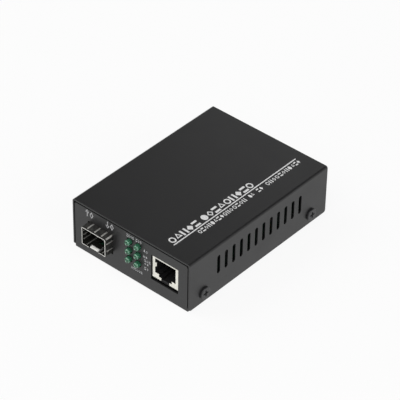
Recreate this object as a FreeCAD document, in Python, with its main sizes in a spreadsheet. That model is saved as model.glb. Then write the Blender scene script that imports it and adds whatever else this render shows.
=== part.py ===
"""Fibre media converter: a steel case with a pluggable fibre bay and a copper network jack.

Frame: origin at the centre of the underside, +X to the right seen from the front,
-Y towards the front panel, +Z up.  All lengths are millimetres.
"""
import FreeCAD
import Part
import Sketcher
import math
import os
import re

doc = FreeCAD.newDocument("media_converter")
sheet = doc.addObject("Spreadsheet::Sheet", "Sizes")

# ---------------------------------------------------------------------------
# Driving sizes: alias, value, meaning
# ---------------------------------------------------------------------------
SIZES = [
    # case
    ("case_width", 70.0, "across the cover's side walls"),
    ("case_depth", 95.0, "front panel face to rear panel face"),
    ("case_height", 27.4, "underside to top of the cover"),
    ("cover_sheet", 0.8, "sheet of the cover"),
    ("base_sheet", 0.8, "sheet of the base pan"),
    ("bend_inside", 0.4, "inside radius of the cover's bends"),
    ("base_bend", 0.2, "inside radius of the base pan's bends"),
    ("skirt_lift", 1.1, "cover's lower edges above the underside"),
    ("skirt_corner", 1.2, "rounding of the cover's lower corners"),
    ("panel_side_gap", 0.5, "panel edge to the cover's side wall"),
    ("panel_top_gap", 0.65, "panel edge to the cover's roof"),
    ("panel_corner", 1.0, "rounding of the panels' upper corners"),
    ("flange_height", 10.2, "top of the base's side flanges"),
    ("flange_gap", 0.1, "side flange to the cover's side wall"),
    ("flange_setback", 2.0, "panel's inner face to the flange's end"),
    ("relief_width", 1.0, "notch beside each flange's end"),
    # ventilation slots
    ("vent_count", 12, "slots in each side wall"),
    ("vent_pitch", 5.12, "slot to slot"),
    ("vent_width", 2.0, "slot width"),
    ("vent_height", 10.1, "slot height"),
    ("vent_z", 16.45, "slot middle above the underside"),
    ("vent_y", -0.1, "middle of the row of slots"),
    # cover screws
    ("screw_front_y", -37.7, "front cover screws"),
    ("screw_rear_y", 36.4, "rear cover screws"),
    ("screw_z", 6.2, "cover screws above the underside"),
    ("screw_thread", 3.0, "thread diameter of the screws"),
    ("screw_play", 0.2, "clearance hole's radius over the thread's"),
    ("cover_head", 6.0, "cover screw's head diameter"),
    ("cover_head_height", 1.1, "cover screw's head height"),
    ("head_round", 0.45, "easing of a screw head's rim"),
    ("cover_screw_length", 4.0, "cover screw under its head"),
    ("recess_span", 3.2, "cross recess, tip to tip"),
    ("recess_slot", 0.8, "cross recess, slot width"),
    ("recess_depth", 0.8, "cross recess, depth"),
    # board and what holds it
    ("board_sheet", 1.6, "thickness of the circuit board"),
    ("board_end_gap", 0.6, "board's end to the panel"),
    ("board_side_gap", 0.5, "board's side to the cover screws' tips"),
    ("board_lift", 6.5, "floor to the board's underside"),
    ("mount_side_inset", 2.6, "board screw from the board's side"),
    ("mount_end_inset", 4.5, "board screw from the board's end"),
    ("mount_behind_jack", 19.0, "right front board screw from the board's front"),
    ("standoff_hex", 5.6, "across the standoff's pressed-in flats"),
    ("standoff_head", 0.6, "thickness of the pressed-in hexagon"),
    ("standoff_barrel", 4.8, "standoff's barrel diameter"),
    ("standoff_bore", 5.6, "depth of the standoff's threaded bore"),
    ("board_head", 4.8, "board screw's head diameter"),
    ("board_head_height", 1.9, "board screw's head height"),
    ("board_screw_length", 5.0, "board screw under its head"),
    # fibre module bay
    ("bay_inset", 16.9, "cover's left side to the middle of the fibre bay"),
    ("bay_proud", 4.6, "cage's front edge ahead of the panel"),
    ("cage_width", 14.3, "outside of the cage"),
    ("cage_height", 9.6, "outside of the cage"),
    ("cage_seat", 0.5, "cage's floor above the board"),
    ("cage_length", 48.6, "front edge to rear wall"),
    ("cage_sheet", 0.3, "sheet of the cage"),
    ("cage_corner", 0.5, "outside radius of the cage's folds"),
    ("tongue_width", 4.8, "latch tongue in the cage's floor"),
    ("tongue_length", 12.0, "latch tongue, front edge to root"),
    ("tongue_slit", 0.6, "slit beside the latch tongue"),
    ("tongue_fold", 1.5, "cage's front edge back to the tongue's crest"),
    ("tongue_start", 0.3, "cage's front edge back to the tongue's free end"),
    ("tongue_rise", 0.55, "height of the tongue's crest"),
    ("latch_window", 2.6, "square hole that takes the module's latch"),
    ("cage_pin_count", 5, "press-in pins on each side"),
    ("cage_pin_end", 3.1, "last pin's front to the cage's rear"),
    ("cage_pin_start", 9.5, "cage's front edge to the first pin"),
    ("cage_pin_width", 0.8, "width of a press-in pin"),
    ("cage_pin_tail", 0.9, "pin below the board"),
    ("bay_window_side", 0.48, "panel opening beside the cage"),
    ("bay_window_top", 0.45, "panel opening above the cage"),
    ("bay_sill", 8.3, "lower edge of the panel opening under the cage"),
    ("collar_sheet", 0.2, "sheet of the spring collar"),
    ("collar_band", 0.7, "front band of the spring collar"),
    ("finger_reach", 6.6, "spring finger, band to tip"),
    ("finger_slit", 1.0, "slit between spring fingers"),
    ("finger_pitch", 4.15, "slit to slit"),
    ("finger_floor_reach", 5.2, "spring finger under the cage, band to tip"),
    # connector inside the bay
    ("edge_connector_width", 11.6, "host connector"),
    ("edge_connector_depth", 8.6, "host connector"),
    ("edge_connector_height", 5.4, "host connector"),
    ("edge_connector_gap", 1.6, "host connector to the cage's rear wall"),
    ("edge_slot_width", 9.4, "slot that takes the module's card edge"),
    ("edge_slot_height", 1.5, "slot that takes the module's card edge"),
    ("edge_slot_depth", 5.6, "slot that takes the module's card edge"),
    ("edge_slot_z", 2.3, "slot's lower face above the board"),
    ("edge_contact_count", 10, "contacts in each row"),
    ("edge_contact_pitch", 0.8, "contact to contact"),
    ("edge_contact_width", 0.35, "contact width"),
    # network jack
    ("jack_inset", 14.65, "cover's right side to the middle of the network jack"),
    ("jack_recess", 0.5, "jack's face behind the panel's face"),
    ("jack_width", 15.24, "outside of the shield"),
    ("jack_height", 12.0, "outside of the shield"),
    ("jack_depth", 15.6, "outside of the shield"),
    ("shield_sheet", 0.25, "sheet of the shield"),
    ("jack_window_side", 0.33, "panel opening beside the jack"),
    ("jack_window_top", 0.2, "panel opening above the jack"),
    ("jack_sill", 7.3, "lower edge of the panel opening under the jack"),
    ("plug_width", 12.1, "plug opening"),
    ("plug_height", 8.1, "plug opening above its shoulders"),
    ("plug_lip", 1.0, "jack's top to the plug opening"),
    ("latch_width", 7.6, "upper step of the latch slot"),
    ("latch_step", 1.5, "height of the upper step"),
    ("latch_foot_width", 4.8, "latch slot below its step"),
    ("plug_depth", 11.4, "jack's face to the end of the plug cavity"),
    ("cavity_wall", 0.8, "wall behind the plug cavity"),
    ("contact_chamber", 2.2, "space behind the plug cavity for the contacts"),
    ("contact_slot", 1.2, "height of the gap over the cavity's rear wall"),
    ("contact_wire", 0.35, "contact wire, square"),
    ("contact_pitch", 1.02, "contact to contact"),
    ("contact_row_step", 1.2, "between the two rows of tails"),
    ("contact_nose", 2.6, "jack's face to the contacts' bend"),
    ("contact_bend", 0.5, "radius at the contacts' bend"),
    ("contact_fall", 3.0, "height of the contacts' slope"),
    ("contact_tip", 2.6, "contact's free end to the cavity's rear wall"),
    ("shield_spring", 2.2, "height of the side springs in the opening"),
    ("shield_spring_reach", 1.4, "length of the side springs"),
    ("shield_spring_push", 0.8, "how far the side springs stand in"),
    ("shield_spring_z", 16.8, "middle of the side springs"),
    ("shield_peg_width", 1.6, "ground pegs through the board"),
    ("shield_peg_back", 8.5, "jack's face to the ground pegs"),
    ("jack_peg", 3.2, "diameter of the housing's locating pegs"),
    ("jack_peg_pitch", 11.4, "between the locating pegs"),
    ("jack_peg_back", 12.6, "jack's face to the locating pegs"),
    ("tail", 1.1, "through-board leads below the board"),
    # indicator lamps
    ("lamp_x", -0.5, "left column of lamps"),
    ("lamp_column_pitch", 5.22, "column to column"),
    ("lamp_row_pitch", 4.91, "row to row"),
    ("lamp_seat", 0.7, "lowest row's rims above the board"),
    ("lamp_diameter", 3.0, "lens"),
    ("lamp_rim_diameter", 3.8, "rim at the lens's back"),
    ("lamp_rim", 1.0, "rim thickness"),
    ("lamp_length", 5.3, "lens, dome tip to back"),
    ("lamp_proud", 2.5, "dome tip ahead of the panel"),
    ("lamp_hole_play", 0.25, "panel hole's radius over the lens's"),
    ("lamp_lead", 0.5, "lead, square"),
    ("lamp_lead_pitch", 2.54, "between a lamp's two leads"),
    ("lamp_lead_reach", 1.6, "lens to the lowest row's drop"),
    ("lamp_lead_step", 2.0, "more reach for each higher row"),
    ("lamp_lead_bend", 0.4, "inside radius of the lead's bend"),
    # power inlet
    ("inlet_inset", 20.0, "cover's right side to the middle of the power inlet"),
    ("inlet_recess", 0.2, "inlet's face inside the rear panel's face"),
    ("inlet_width", 9.0, "inlet housing"),
    ("inlet_height", 11.0, "inlet housing"),
    ("inlet_depth", 14.4, "inlet housing"),
    ("inlet_face", 3.4, "thickness of the square face block"),
    ("inlet_axis", 6.5, "inlet's axis above the board"),
    ("inlet_bore", 6.3, "diameter of the socket"),
    ("inlet_bore_depth", 10.0, "depth of the socket"),
    ("inlet_pin", 2.0, "centre pin's diameter"),
    ("inlet_pin_rivet", 1.5, "pin's diameter where it is riveted through the wall"),
    ("inlet_pin_set_back", 0.8, "pin's tip inside the inlet's face"),
    ("inlet_window_gap", 0.3, "panel opening round the inlet"),
    ("inlet_blade", 0.6, "terminal sheet"),
    ("inlet_blade_width", 2.4, "terminal width"),
    ("inlet_spring_width", 2.0, "sleeve spring in the socket"),
    ("inlet_groove", 1.0, "depth of the groove below the socket"),
    ("inlet_groove_start", 2.0, "inlet's face to the groove"),
    ("inlet_switch_set_back", 8.0, "inlet's face to the switch terminal"),
    # parts on the board
    ("processor_x", 4.0, "board's middle to the converter chip's"),
    ("processor_y", 4.0, "board's middle to the converter chip's"),
    ("processor_size", 14.0, "converter chip's body"),
    ("processor_height", 1.4, "converter chip's body"),
    ("processor_lead_count", 12, "leads on each side of the converter chip"),
    ("processor_lead_pitch", 1.0, "lead to lead"),
    ("transformer_inset", 11.5, "board's right side to the line transformer's middle"),
    ("transformer_setback", 29.9, "board's front to the line transformer's middle"),
    ("transformer_length", 17.5, "line transformer's body"),
    ("transformer_width", 7.2, "line transformer's body"),
    ("transformer_height", 4.4, "line transformer's body"),
    ("transformer_lead_count", 12, "leads on each side of the transformer"),
    ("transformer_lead_pitch", 1.27, "lead to lead"),
    ("memory_inset", 14.5, "board's left side to the memory chip's middle"),
    ("memory_setback", 21.9, "board's rear to the memory chip's middle"),
    ("memory_length", 5.0, "memory chip's body"),
    ("memory_width", 3.9, "memory chip's body"),
    ("memory_height", 1.5, "memory chip's body"),
    ("regulator_inset", 18.5, "board's right side to the voltage regulator's middle"),
    ("regulator_setback", 22.4, "board's rear to the voltage regulator's middle"),
    ("regulator_length", 6.5, "voltage regulator's body"),
    ("regulator_width", 3.5, "voltage regulator's body"),
    ("regulator_height", 1.6, "voltage regulator's body"),
    ("lead_sheet", 0.15, "thickness of the chips' leads"),
    ("lead_reach", 1.1, "leads beyond a chip's body"),
    ("lead_foot", 0.55, "flat part of a lead's foot"),
    ("chip_lift", 0.15, "chip bodies above the board"),
    ("crystal_inset", 13.5, "board's left side to the crystal's middle"),
    ("crystal_y", 9.0, "board's middle to the crystal's"),
    ("crystal_length", 11.0, "crystal can"),
    ("crystal_width", 4.6, "crystal can"),
    ("crystal_height", 3.4, "crystal can"),
    ("crystal_flange", 0.5, "crystal's rim, width and thickness"),
    ("crystal_lead_pitch", 4.88, "between the crystal's leads"),
    ("input_capacitor_x", 2.0, "board's middle to the input capacitor's"),
    ("input_capacitor_setback", 8.9, "board's rear to the input capacitor's middle"),
    ("input_capacitor_diameter", 8.0, "input capacitor's can"),
    ("input_capacitor_height", 11.5, "input capacitor's can"),
    ("output_capacitor_x", -9.0, "board's middle to the output capacitor's"),
    ("output_capacitor_setback", 10.9, "board's rear to the output capacitor's middle"),
    ("output_capacitor_diameter", 6.3, "output capacitor's can"),
    ("output_capacitor_height", 7.5, "output capacitor's can"),
    ("can_groove", 0.35, "crimp groove round a capacitor's can"),
    ("can_rim", 0.5, "bevel of a capacitor's top edge"),
    ("can_lead", 0.6, "capacitor lead diameter"),
    ("can_lead_pitch", 3.0, "between a capacitor's leads"),
    ("inductor_inset", 7.0, "board's right side to the power inductor's middle"),
    ("inductor_setback", 26.9, "board's rear to the power inductor's middle"),
    ("inductor_size", 7.4, "power inductor's square base"),
    ("inductor_height", 4.2, "power inductor"),
    ("inductor_flange", 0.9, "thickness of the core's end plates"),
    ("inductor_waist", 3.0, "diameter of the core's middle"),
    ("inductor_coil", 6.4, "outside of the winding"),
    ("diode_inset", 6.0, "board's right side to the input diode's middle"),
    ("diode_setback", 13.9, "board's rear to the input diode's middle"),
    ("diode_length", 4.3, "input diode's body"),
    ("diode_width", 2.7, "input diode's body"),
    ("diode_height", 2.2, "input diode's body"),
    ("resistor_length", 1.6, "chip resistor"),
    ("resistor_width", 0.8, "chip resistor"),
    ("resistor_height", 0.5, "chip resistor"),
    ("resistor_count", 8, "chip resistors in the lamps' row"),
    ("resistor_pitch", 1.9, "resistor to resistor"),
    ("resistor_start", 4.0, "left column of lamps back to the first resistor"),
    ("resistor_setback", 13.9, "board's front to the resistor row"),
    ("chip_capacitor_length", 2.0, "chip capacitor"),
    ("chip_capacitor_width", 1.25, "chip capacitor"),
    ("chip_capacitor_height", 1.1, "chip capacitor"),
    ("chip_capacitor_count", 5, "chip capacitors beside the converter chip"),
    ("chip_capacitor_pitch", 2.6, "capacitor to capacitor"),
    ("chip_capacitor_gap", 13.0, "converter chip's middle to the capacitor row"),
]

for line, (alias, value, meaning) in enumerate(SIZES, start=1):
    sheet.set("A%d" % line, meaning)
    sheet.set("B%d" % line, str(value))
    sheet.setAlias("B%d" % line, alias)
doc.recompute()

ALIASES = {alias for alias, value, meaning in SIZES}

# Heights and places that several pieces share, as expressions of the sheet
BEND_OUTSIDE_BASE = "(base_bend + base_sheet)"
BEND_OUTSIDE_COVER = "(bend_inside + cover_sheet)"
PANEL_WIDTH = "(case_width - 2 * (cover_sheet + panel_side_gap))"
PANEL_TOP = "(case_height - cover_sheet - panel_top_gap)"
FLANGE_X = "(case_width / 2 - cover_sheet - flange_gap)"
FLANGE_LENGTH = "(case_depth - 2 * (base_sheet + flange_setback))"
BOARD_UNDER = "(base_sheet + board_lift)"
BOARD_TOP = "(base_sheet + board_lift + board_sheet)"
BOARD_WIDTH = "(case_width - 2 * (cover_screw_length + board_side_gap))"
BOARD_LENGTH = "(case_depth - 2 * (base_sheet + board_end_gap))"
CAGE_FRONT = "(-case_depth / 2 - bay_proud)"
CAGE_FLOOR = "(%s + cage_seat)" % BOARD_TOP
JACK_FACE = "(-case_depth / 2 + jack_recess)"
LAMP_BACK = "(-case_depth / 2 - lamp_proud + lamp_length)"
LOWEST_LAMP_Z = "(%s + lamp_seat + lamp_rim_diameter / 2)" % BOARD_TOP
INLET_FACE = "(case_depth / 2 - inlet_recess)"
BAY_X = "(bay_inset - case_width / 2)"
JACK_X = "(case_width / 2 - jack_inset)"
INLET_X = "(case_width / 2 - inlet_inset)"


# ---------------------------------------------------------------------------
# Modelling helpers
# ---------------------------------------------------------------------------
def linked(text):
    """Expression text with the sheet's name put before each alias."""
    return re.sub(r"[a-z_]+[a-z0-9_]*",
                  lambda found: "Sizes." + found.group() if found.group() in ALIASES else found.group(),
                  text)


def number(text):
    """Present value of an expression of the sheet's aliases."""
    return float(sheet.evalExpression(text))


def point(across, up):
    return FreeCAD.Vector(number(across), number(up), 0)


def bind(target, prop, text):
    target.setExpression(prop, linked(text))


def place(piece, across="0", along="0", up="0"):
    """Put a piece at a place given by expressions."""
    bind(piece, "Placement.Base.x", across)
    bind(piece, "Placement.Base.y", along)
    bind(piece, "Placement.Base.z", up)


def new_body(name):
    body = doc.addObject("PartDesign::Body", name)
    body.Label = name
    body.AllowCompound = True
    return body


def origin_plane(body, role):
    return next(item for item in body.Origin.OriginFeatures if item.Role == role)


def new_sketch(body, role, shift=None):
    """Sketch on one of the body's origin planes, moved along its normal by an expression."""
    sketch = body.newObject("Sketcher::SketchObject", body.Name + "_sketch")
    sketch.AttachmentSupport = [(origin_plane(body, role), "")]
    sketch.MapMode = "FlatFace"
    if shift:
        bind(sketch, "AttachmentOffset.Base.z", shift)
    return sketch


def fix(sketch, kind, geometry, end, text):
    """Tie a point's distance from the sketch's origin to an expression."""
    if text == "0":
        axis = -2 if kind == "DistanceX" else -1
        sketch.addConstraint(Sketcher.Constraint("PointOnObject", geometry, end, axis))
        return
    index = sketch.addConstraint(Sketcher.Constraint(kind, -1, 1, geometry, end, number(text)))
    bind(sketch, "Constraints[%d]" % index, text)


def fix_radius(sketch, geometry, text):
    index = sketch.addConstraint(Sketcher.Constraint("Radius", geometry, number(text)))
    bind(sketch, "Constraints[%d]" % index, text)


def draw_arc(sketch, centre, radius, start, end):
    """Arc that runs anticlockwise from the start point to the end point."""
    circle = Part.Circle(centre, FreeCAD.Vector(0, 0, 1), radius)
    turn = [math.atan2(at.y - centre.y, at.x - centre.x) for at in (start, end)]
    if turn[1] <= turn[0]:
        turn[1] += 2 * math.pi
    return sketch.addGeometry(Part.ArcOfCircle(circle, turn[0], turn[1]), False)


def draw_steps(sketch, lines, bends=None):
    """Closed outline of lines that run up and across in turn.

    lines holds the place of each line: an x for the upright ones (even places) and a
    y for the level ones.  bends gives a radius to the corner after a line.
    """
    bends = bends or {}
    count = len(lines)
    at = [number(text) for text in lines]
    corners = []
    for index in range(count):
        after = (index + 1) % count
        corners.append(FreeCAD.Vector(at[index], at[after], 0) if index % 2 == 0
                       else FreeCAD.Vector(at[after], at[index], 0))
    radii = [number(bends[index]) if index in bends else 0.0 for index in range(count)]
    ways = [(corners[index] - corners[index - 1]).normalize() for index in range(count)]
    ids = []
    for index in range(count):
        start = corners[index - 1] + ways[index] * radii[index - 1]
        end = corners[index] - ways[index] * radii[index]
        ids.append(sketch.addGeometry(Part.LineSegment(start, end), False))
        upright = index % 2 == 0
        sketch.addConstraint(Sketcher.Constraint("Vertical" if upright else "Horizontal", ids[index]))
        fix(sketch, "DistanceX" if upright else "DistanceY", ids[index], 1, lines[index])
    for index in range(count):
        after = (index + 1) % count
        if not radii[index]:
            sketch.addConstraint(Sketcher.Constraint("Coincident", ids[index], 2, ids[after], 1))
            continue
        leave = corners[index] - ways[index] * radii[index]
        enter = corners[index] + ways[after] * radii[index]
        centre = leave + ways[after] * radii[index]
        left_turn = ways[index].cross(ways[after]).z > 0
        start, end = (leave, enter) if left_turn else (enter, leave)
        arc = draw_arc(sketch, centre, radii[index], start, end)
        first, last = (1, 2) if left_turn else (2, 1)
        sketch.addConstraint(Sketcher.Constraint("Tangent", ids[index], 2, arc, first))
        sketch.addConstraint(Sketcher.Constraint("Tangent", arc, last, ids[after], 1))
        fix_radius(sketch, arc, bends[index])


def draw_box(sketch, left, right, low, high):
    draw_steps(sketch, [left, high, right, low])


def draw_window(sketch, middle, half_width, low, high):
    draw_box(sketch, "%s - %s" % (middle, half_width), "%s + %s" % (middle, half_width), low, high)


def draw_circle(sketch, across, up, radius):
    circle = Part.Circle(point(across, up), FreeCAD.Vector(0, 0, 1), number(radius))
    index = sketch.addGeometry(circle, False)
    fix(sketch, "DistanceX", index, 3, across)
    fix(sketch, "DistanceY", index, 3, up)
    fix_radius(sketch, index, radius)


def draw_loop(sketch, corners):
    """Closed outline through corners given as pairs of expressions."""
    spots = [point(across, up) for across, up in corners]
    ids = [sketch.addGeometry(Part.LineSegment(spot, spots[(index + 1) % len(spots)]), False)
           for index, spot in enumerate(spots)]
    for index, (across, up) in enumerate(corners):
        sketch.addConstraint(Sketcher.Constraint("Coincident", ids[index - 1], 2, ids[index], 1))
        fix(sketch, "DistanceX", ids[index], 1, across)
        fix(sketch, "DistanceY", ids[index], 1, up)


def draw_slot(sketch, across, low, high, radius):
    """Upright slot with round ends; low and high are the centres of its ends."""
    lower, upper = point(across, low), point(across, high)
    side = FreeCAD.Vector(number(radius), 0, 0)
    top = draw_arc(sketch, upper, side.x, upper + side, upper - side)
    left = sketch.addGeometry(Part.LineSegment(upper - side, lower - side), False)
    foot = draw_arc(sketch, lower, side.x, lower - side, lower + side)
    right = sketch.addGeometry(Part.LineSegment(lower + side, upper + side), False)
    for one, other in ((top, left), (left, foot), (foot, right), (right, top)):
        sketch.addConstraint(Sketcher.Constraint("Tangent", one, 2, other, 1))
    for arc, up in ((top, high), (foot, low)):
        fix(sketch, "DistanceX", arc, 3, across)
        fix(sketch, "DistanceY", arc, 3, up)
        fix_radius(sketch, arc, radius)


def draw_bow(sketch, start, end, base, rise, thickness, upright=False):
    """Thin arched strip from start to end that rises to its middle above the base line.

    The strip runs across the sketch, or up it where upright is set.
    """
    def pair(along, out):
        return (out, along) if upright else (along, out)

    middle = "(%s + %s) / 2" % (start, end)
    crest = "%s + %s" % (base, rise)
    ends = [point(*pair(start, base)), point(*pair(end, base))]
    top = point(*pair(middle, crest))
    inner = Part.Circle(ends[0], top, ends[1])
    centre = FreeCAD.Vector(inner.Center.x, inner.Center.y, 0)
    reach = inner.Radius + number(thickness)
    outer_ends = [centre + (spot - centre).normalize() * reach for spot in ends]
    forward = (ends[0] - centre).cross(ends[1] - centre).z > 0
    first, last = (0, 1) if forward else (1, 0)
    lower = draw_arc(sketch, centre, inner.Radius, ends[first], ends[last])
    upper = draw_arc(sketch, centre, reach, outer_ends[first], outer_ends[last])
    caps = [sketch.addGeometry(Part.LineSegment(ends[side], outer_ends[side]), False) for side in (0, 1)]
    crown = sketch.addGeometry(Part.Point(top), True)
    for arc, side_end in ((lower, 1), (upper, 2)):
        sketch.addConstraint(Sketcher.Constraint("Coincident", arc, 1, caps[first], side_end))
        sketch.addConstraint(Sketcher.Constraint("Coincident", arc, 2, caps[last], side_end))
    sketch.addConstraint(Sketcher.Constraint("Coincident", lower, 3, upper, 3))
    for cap in caps:
        sketch.addConstraint(Sketcher.Constraint("PointOnObject", lower, 3, cap))
    sketch.addConstraint(Sketcher.Constraint("PointOnObject", crown, 1, lower))
    for geometry, place_along, place_out in ((caps[0], start, base), (caps[1], end, base),
                                             (crown, middle, crest)):
        across, up = pair(place_along, place_out)
        fix(sketch, "DistanceX", geometry, 1, across)
        fix(sketch, "DistanceY", geometry, 1, up)
    index = sketch.addConstraint(Sketcher.Constraint("Distance", caps[0], number(thickness)))
    bind(sketch, "Constraints[%d]" % index, thickness)


def draw_path(sketch, corners, radii):
    """Open line through corners given as pairs of expressions, with a bend at each inner one."""
    spots = [point(across, up) for across, up in corners]
    ways = [(after - before).normalize() for before, after in zip(spots, spots[1:])]
    starts, bends = [spots[0]], []
    ends = []
    for spot, way, onward, radius in zip(spots[1:], ways, ways[1:], radii):
        trim = number(radius) * math.tan(way.getAngle(onward) / 2)
        left_turn = way.cross(onward).z > 0
        side = FreeCAD.Vector(-way.y, way.x, 0) * (1 if left_turn else -1)
        leave, enter = spot - way * trim, spot + onward * trim
        ends.append(leave)
        starts.append(enter)
        bends.append((leave + side * number(radius), leave, enter, left_turn))
    ends.append(spots[-1])
    lines = [sketch.addGeometry(Part.LineSegment(start, end), False) for start, end in zip(starts, ends)]
    for index, (centre, leave, enter, left_turn) in enumerate(bends):
        across, up = corners[index + 1]
        start, end = (leave, enter) if left_turn else (enter, leave)
        arc = draw_arc(sketch, centre, number(radii[index]), start, end)
        first, last = (1, 2) if left_turn else (2, 1)
        corner = sketch.addGeometry(Part.Point(spots[index + 1]), True)
        sketch.addConstraint(Sketcher.Constraint("Tangent", lines[index], 2, arc, first))
        sketch.addConstraint(Sketcher.Constraint("Tangent", arc, last, lines[index + 1], 1))
        for line in lines[index:index + 2]:
            sketch.addConstraint(Sketcher.Constraint("PointOnObject", corner, 1, line))
        fix(sketch, "DistanceX", corner, 1, across)
        fix(sketch, "DistanceY", corner, 1, up)
        fix_radius(sketch, arc, radii[index])
    for line, end, (across, up) in ((lines[0], 1, corners[0]), (lines[-1], 2, corners[-1])):
        fix(sketch, "DistanceX", line, end, across)
        fix(sketch, "DistanceY", line, end, up)


def add_prism(body, kind, sketch, length=None, symmetric=False, backwards=False):
    """Pad or pocket of a sketch; without a length a pocket goes right through."""
    feature = body.newObject("PartDesign::" + kind, "%s_%s" % (body.Name, kind.lower()))
    feature.Profile = sketch
    feature.SideType = "Symmetric" if symmetric else "One side"
    feature.Reversed = backwards
    if length:
        bind(feature, "Length", length)
    else:
        feature.Type = "ThroughAll"
    body.Tip = feature
    return feature


def pad(body, sketch, length, symmetric=False, backwards=False):
    return add_prism(body, "Pad", sketch, length, symmetric, backwards)


def pocket(body, sketch, length=None, symmetric=False, backwards=False):
    return add_prism(body, "Pocket", sketch, length, symmetric, backwards)


def spin(body, sketch, axis="V_Axis"):
    feature = body.newObject("PartDesign::Revolution", body.Name + "_revolution")
    feature.Profile = sketch
    feature.ReferenceAxis = (sketch, [axis])
    feature.Angle = 360
    body.Tip = feature
    return feature


def repeat(body, originals, axis, pitch, count):
    """Row of copies along one of the body's origin axes."""
    feature = body.newObject("PartDesign::LinearPattern", body.Name + "_row")
    feature.Originals = originals
    feature.Direction = (origin_plane(body, axis), [""])
    bind(feature, "Length", "%s * (%s - 1)" % (pitch, count))
    bind(feature, "Occurrences", count)
    body.Tip = feature
    return feature


def mirror(body, originals, role):
    feature = body.newObject("PartDesign::Mirrored", body.Name + "_mirror")
    feature.Originals = originals
    feature.MirrorPlane = (origin_plane(body, role), [""])
    body.Tip = feature
    return feature


def combine(body, originals, steps):
    """Several transformations, one after the other."""
    feature = body.newObject("PartDesign::MultiTransform", body.Name + "_steps")
    feature.Originals = originals
    feature.Transformations = steps
    body.Tip = feature
    return feature


def round_edges(body, radius, chosen, kind="Fillet"):
    """Fillet or chamfer the edges of the body's present shape that the chosen test accepts."""
    doc.recompute()
    base = body.Tip
    names = ["Edge%d" % index for index, edge in enumerate(base.Shape.Edges, start=1) if chosen(edge)]
    feature = body.newObject("PartDesign::" + kind, "%s_%s" % (body.Name, kind.lower()))
    feature.Base = (base, names)
    bind(feature, "Radius" if kind == "Fillet" else "Size", radius)
    body.Tip = feature
    return feature


def runs_along(edge, direction):
    """True for a straight edge parallel to a direction."""
    if not isinstance(edge.Curve, Part.Line):
        return False
    return edge.tangentAt(edge.FirstParameter).cross(direction).Length < 1e-6


X_WAY = FreeCAD.Vector(1, 0, 0)
Y_WAY = FreeCAD.Vector(0, 1, 0)
Z_WAY = FreeCAD.Vector(0, 0, 1)


def group(name, pieces):
    """One node of several separate solids."""
    made = doc.addObject("Part::Compound", name)
    made.Label = name
    made.Links = pieces
    return made


def copy_at(source, name, across, along, up="0"):
    link = doc.addObject("App::Link", name)
    link.LinkedObject = source
    place(link, across, along, up)
    return link


nodes = []


def keep(piece):
    """Mark an object as one of the model's sub-parts."""
    nodes.append(piece)
    return piece


# ---------------------------------------------------------------------------
# Case: base pan, top cover and their screws
# ---------------------------------------------------------------------------
MOUNT_X = "(%s / 2 - mount_side_inset)" % BOARD_WIDTH
MOUNT_REAR = "(%s / 2 - mount_end_inset)" % BOARD_LENGTH
MOUNT_JACK = "(-%s / 2 + mount_behind_jack)" % BOARD_LENGTH
MOUNTS = [("-" + MOUNT_X, "-" + MOUNT_REAR), (MOUNT_X, MOUNT_JACK),
          ("-" + MOUNT_X, MOUNT_REAR), (MOUNT_X, MOUNT_REAR)]
LAMPS = [(column, row) for row in range(3) for column in range(2)]


def lamp_place(column, row):
    return ("(lamp_x + %d * lamp_column_pitch)" % column,
            "(%s + %d * lamp_row_pitch)" % (LOWEST_LAMP_Z, row))


def hexagon(across_flats, across, along):
    corners = []
    for step in range(6):
        angle = math.radians(60 * step)
        corners.append(tuple("%s + %s * %.9f" % (centre, across_flats, part / math.sqrt(3))
                             for centre, part in ((across, math.cos(angle)), (along, math.sin(angle)))))
    return corners


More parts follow.
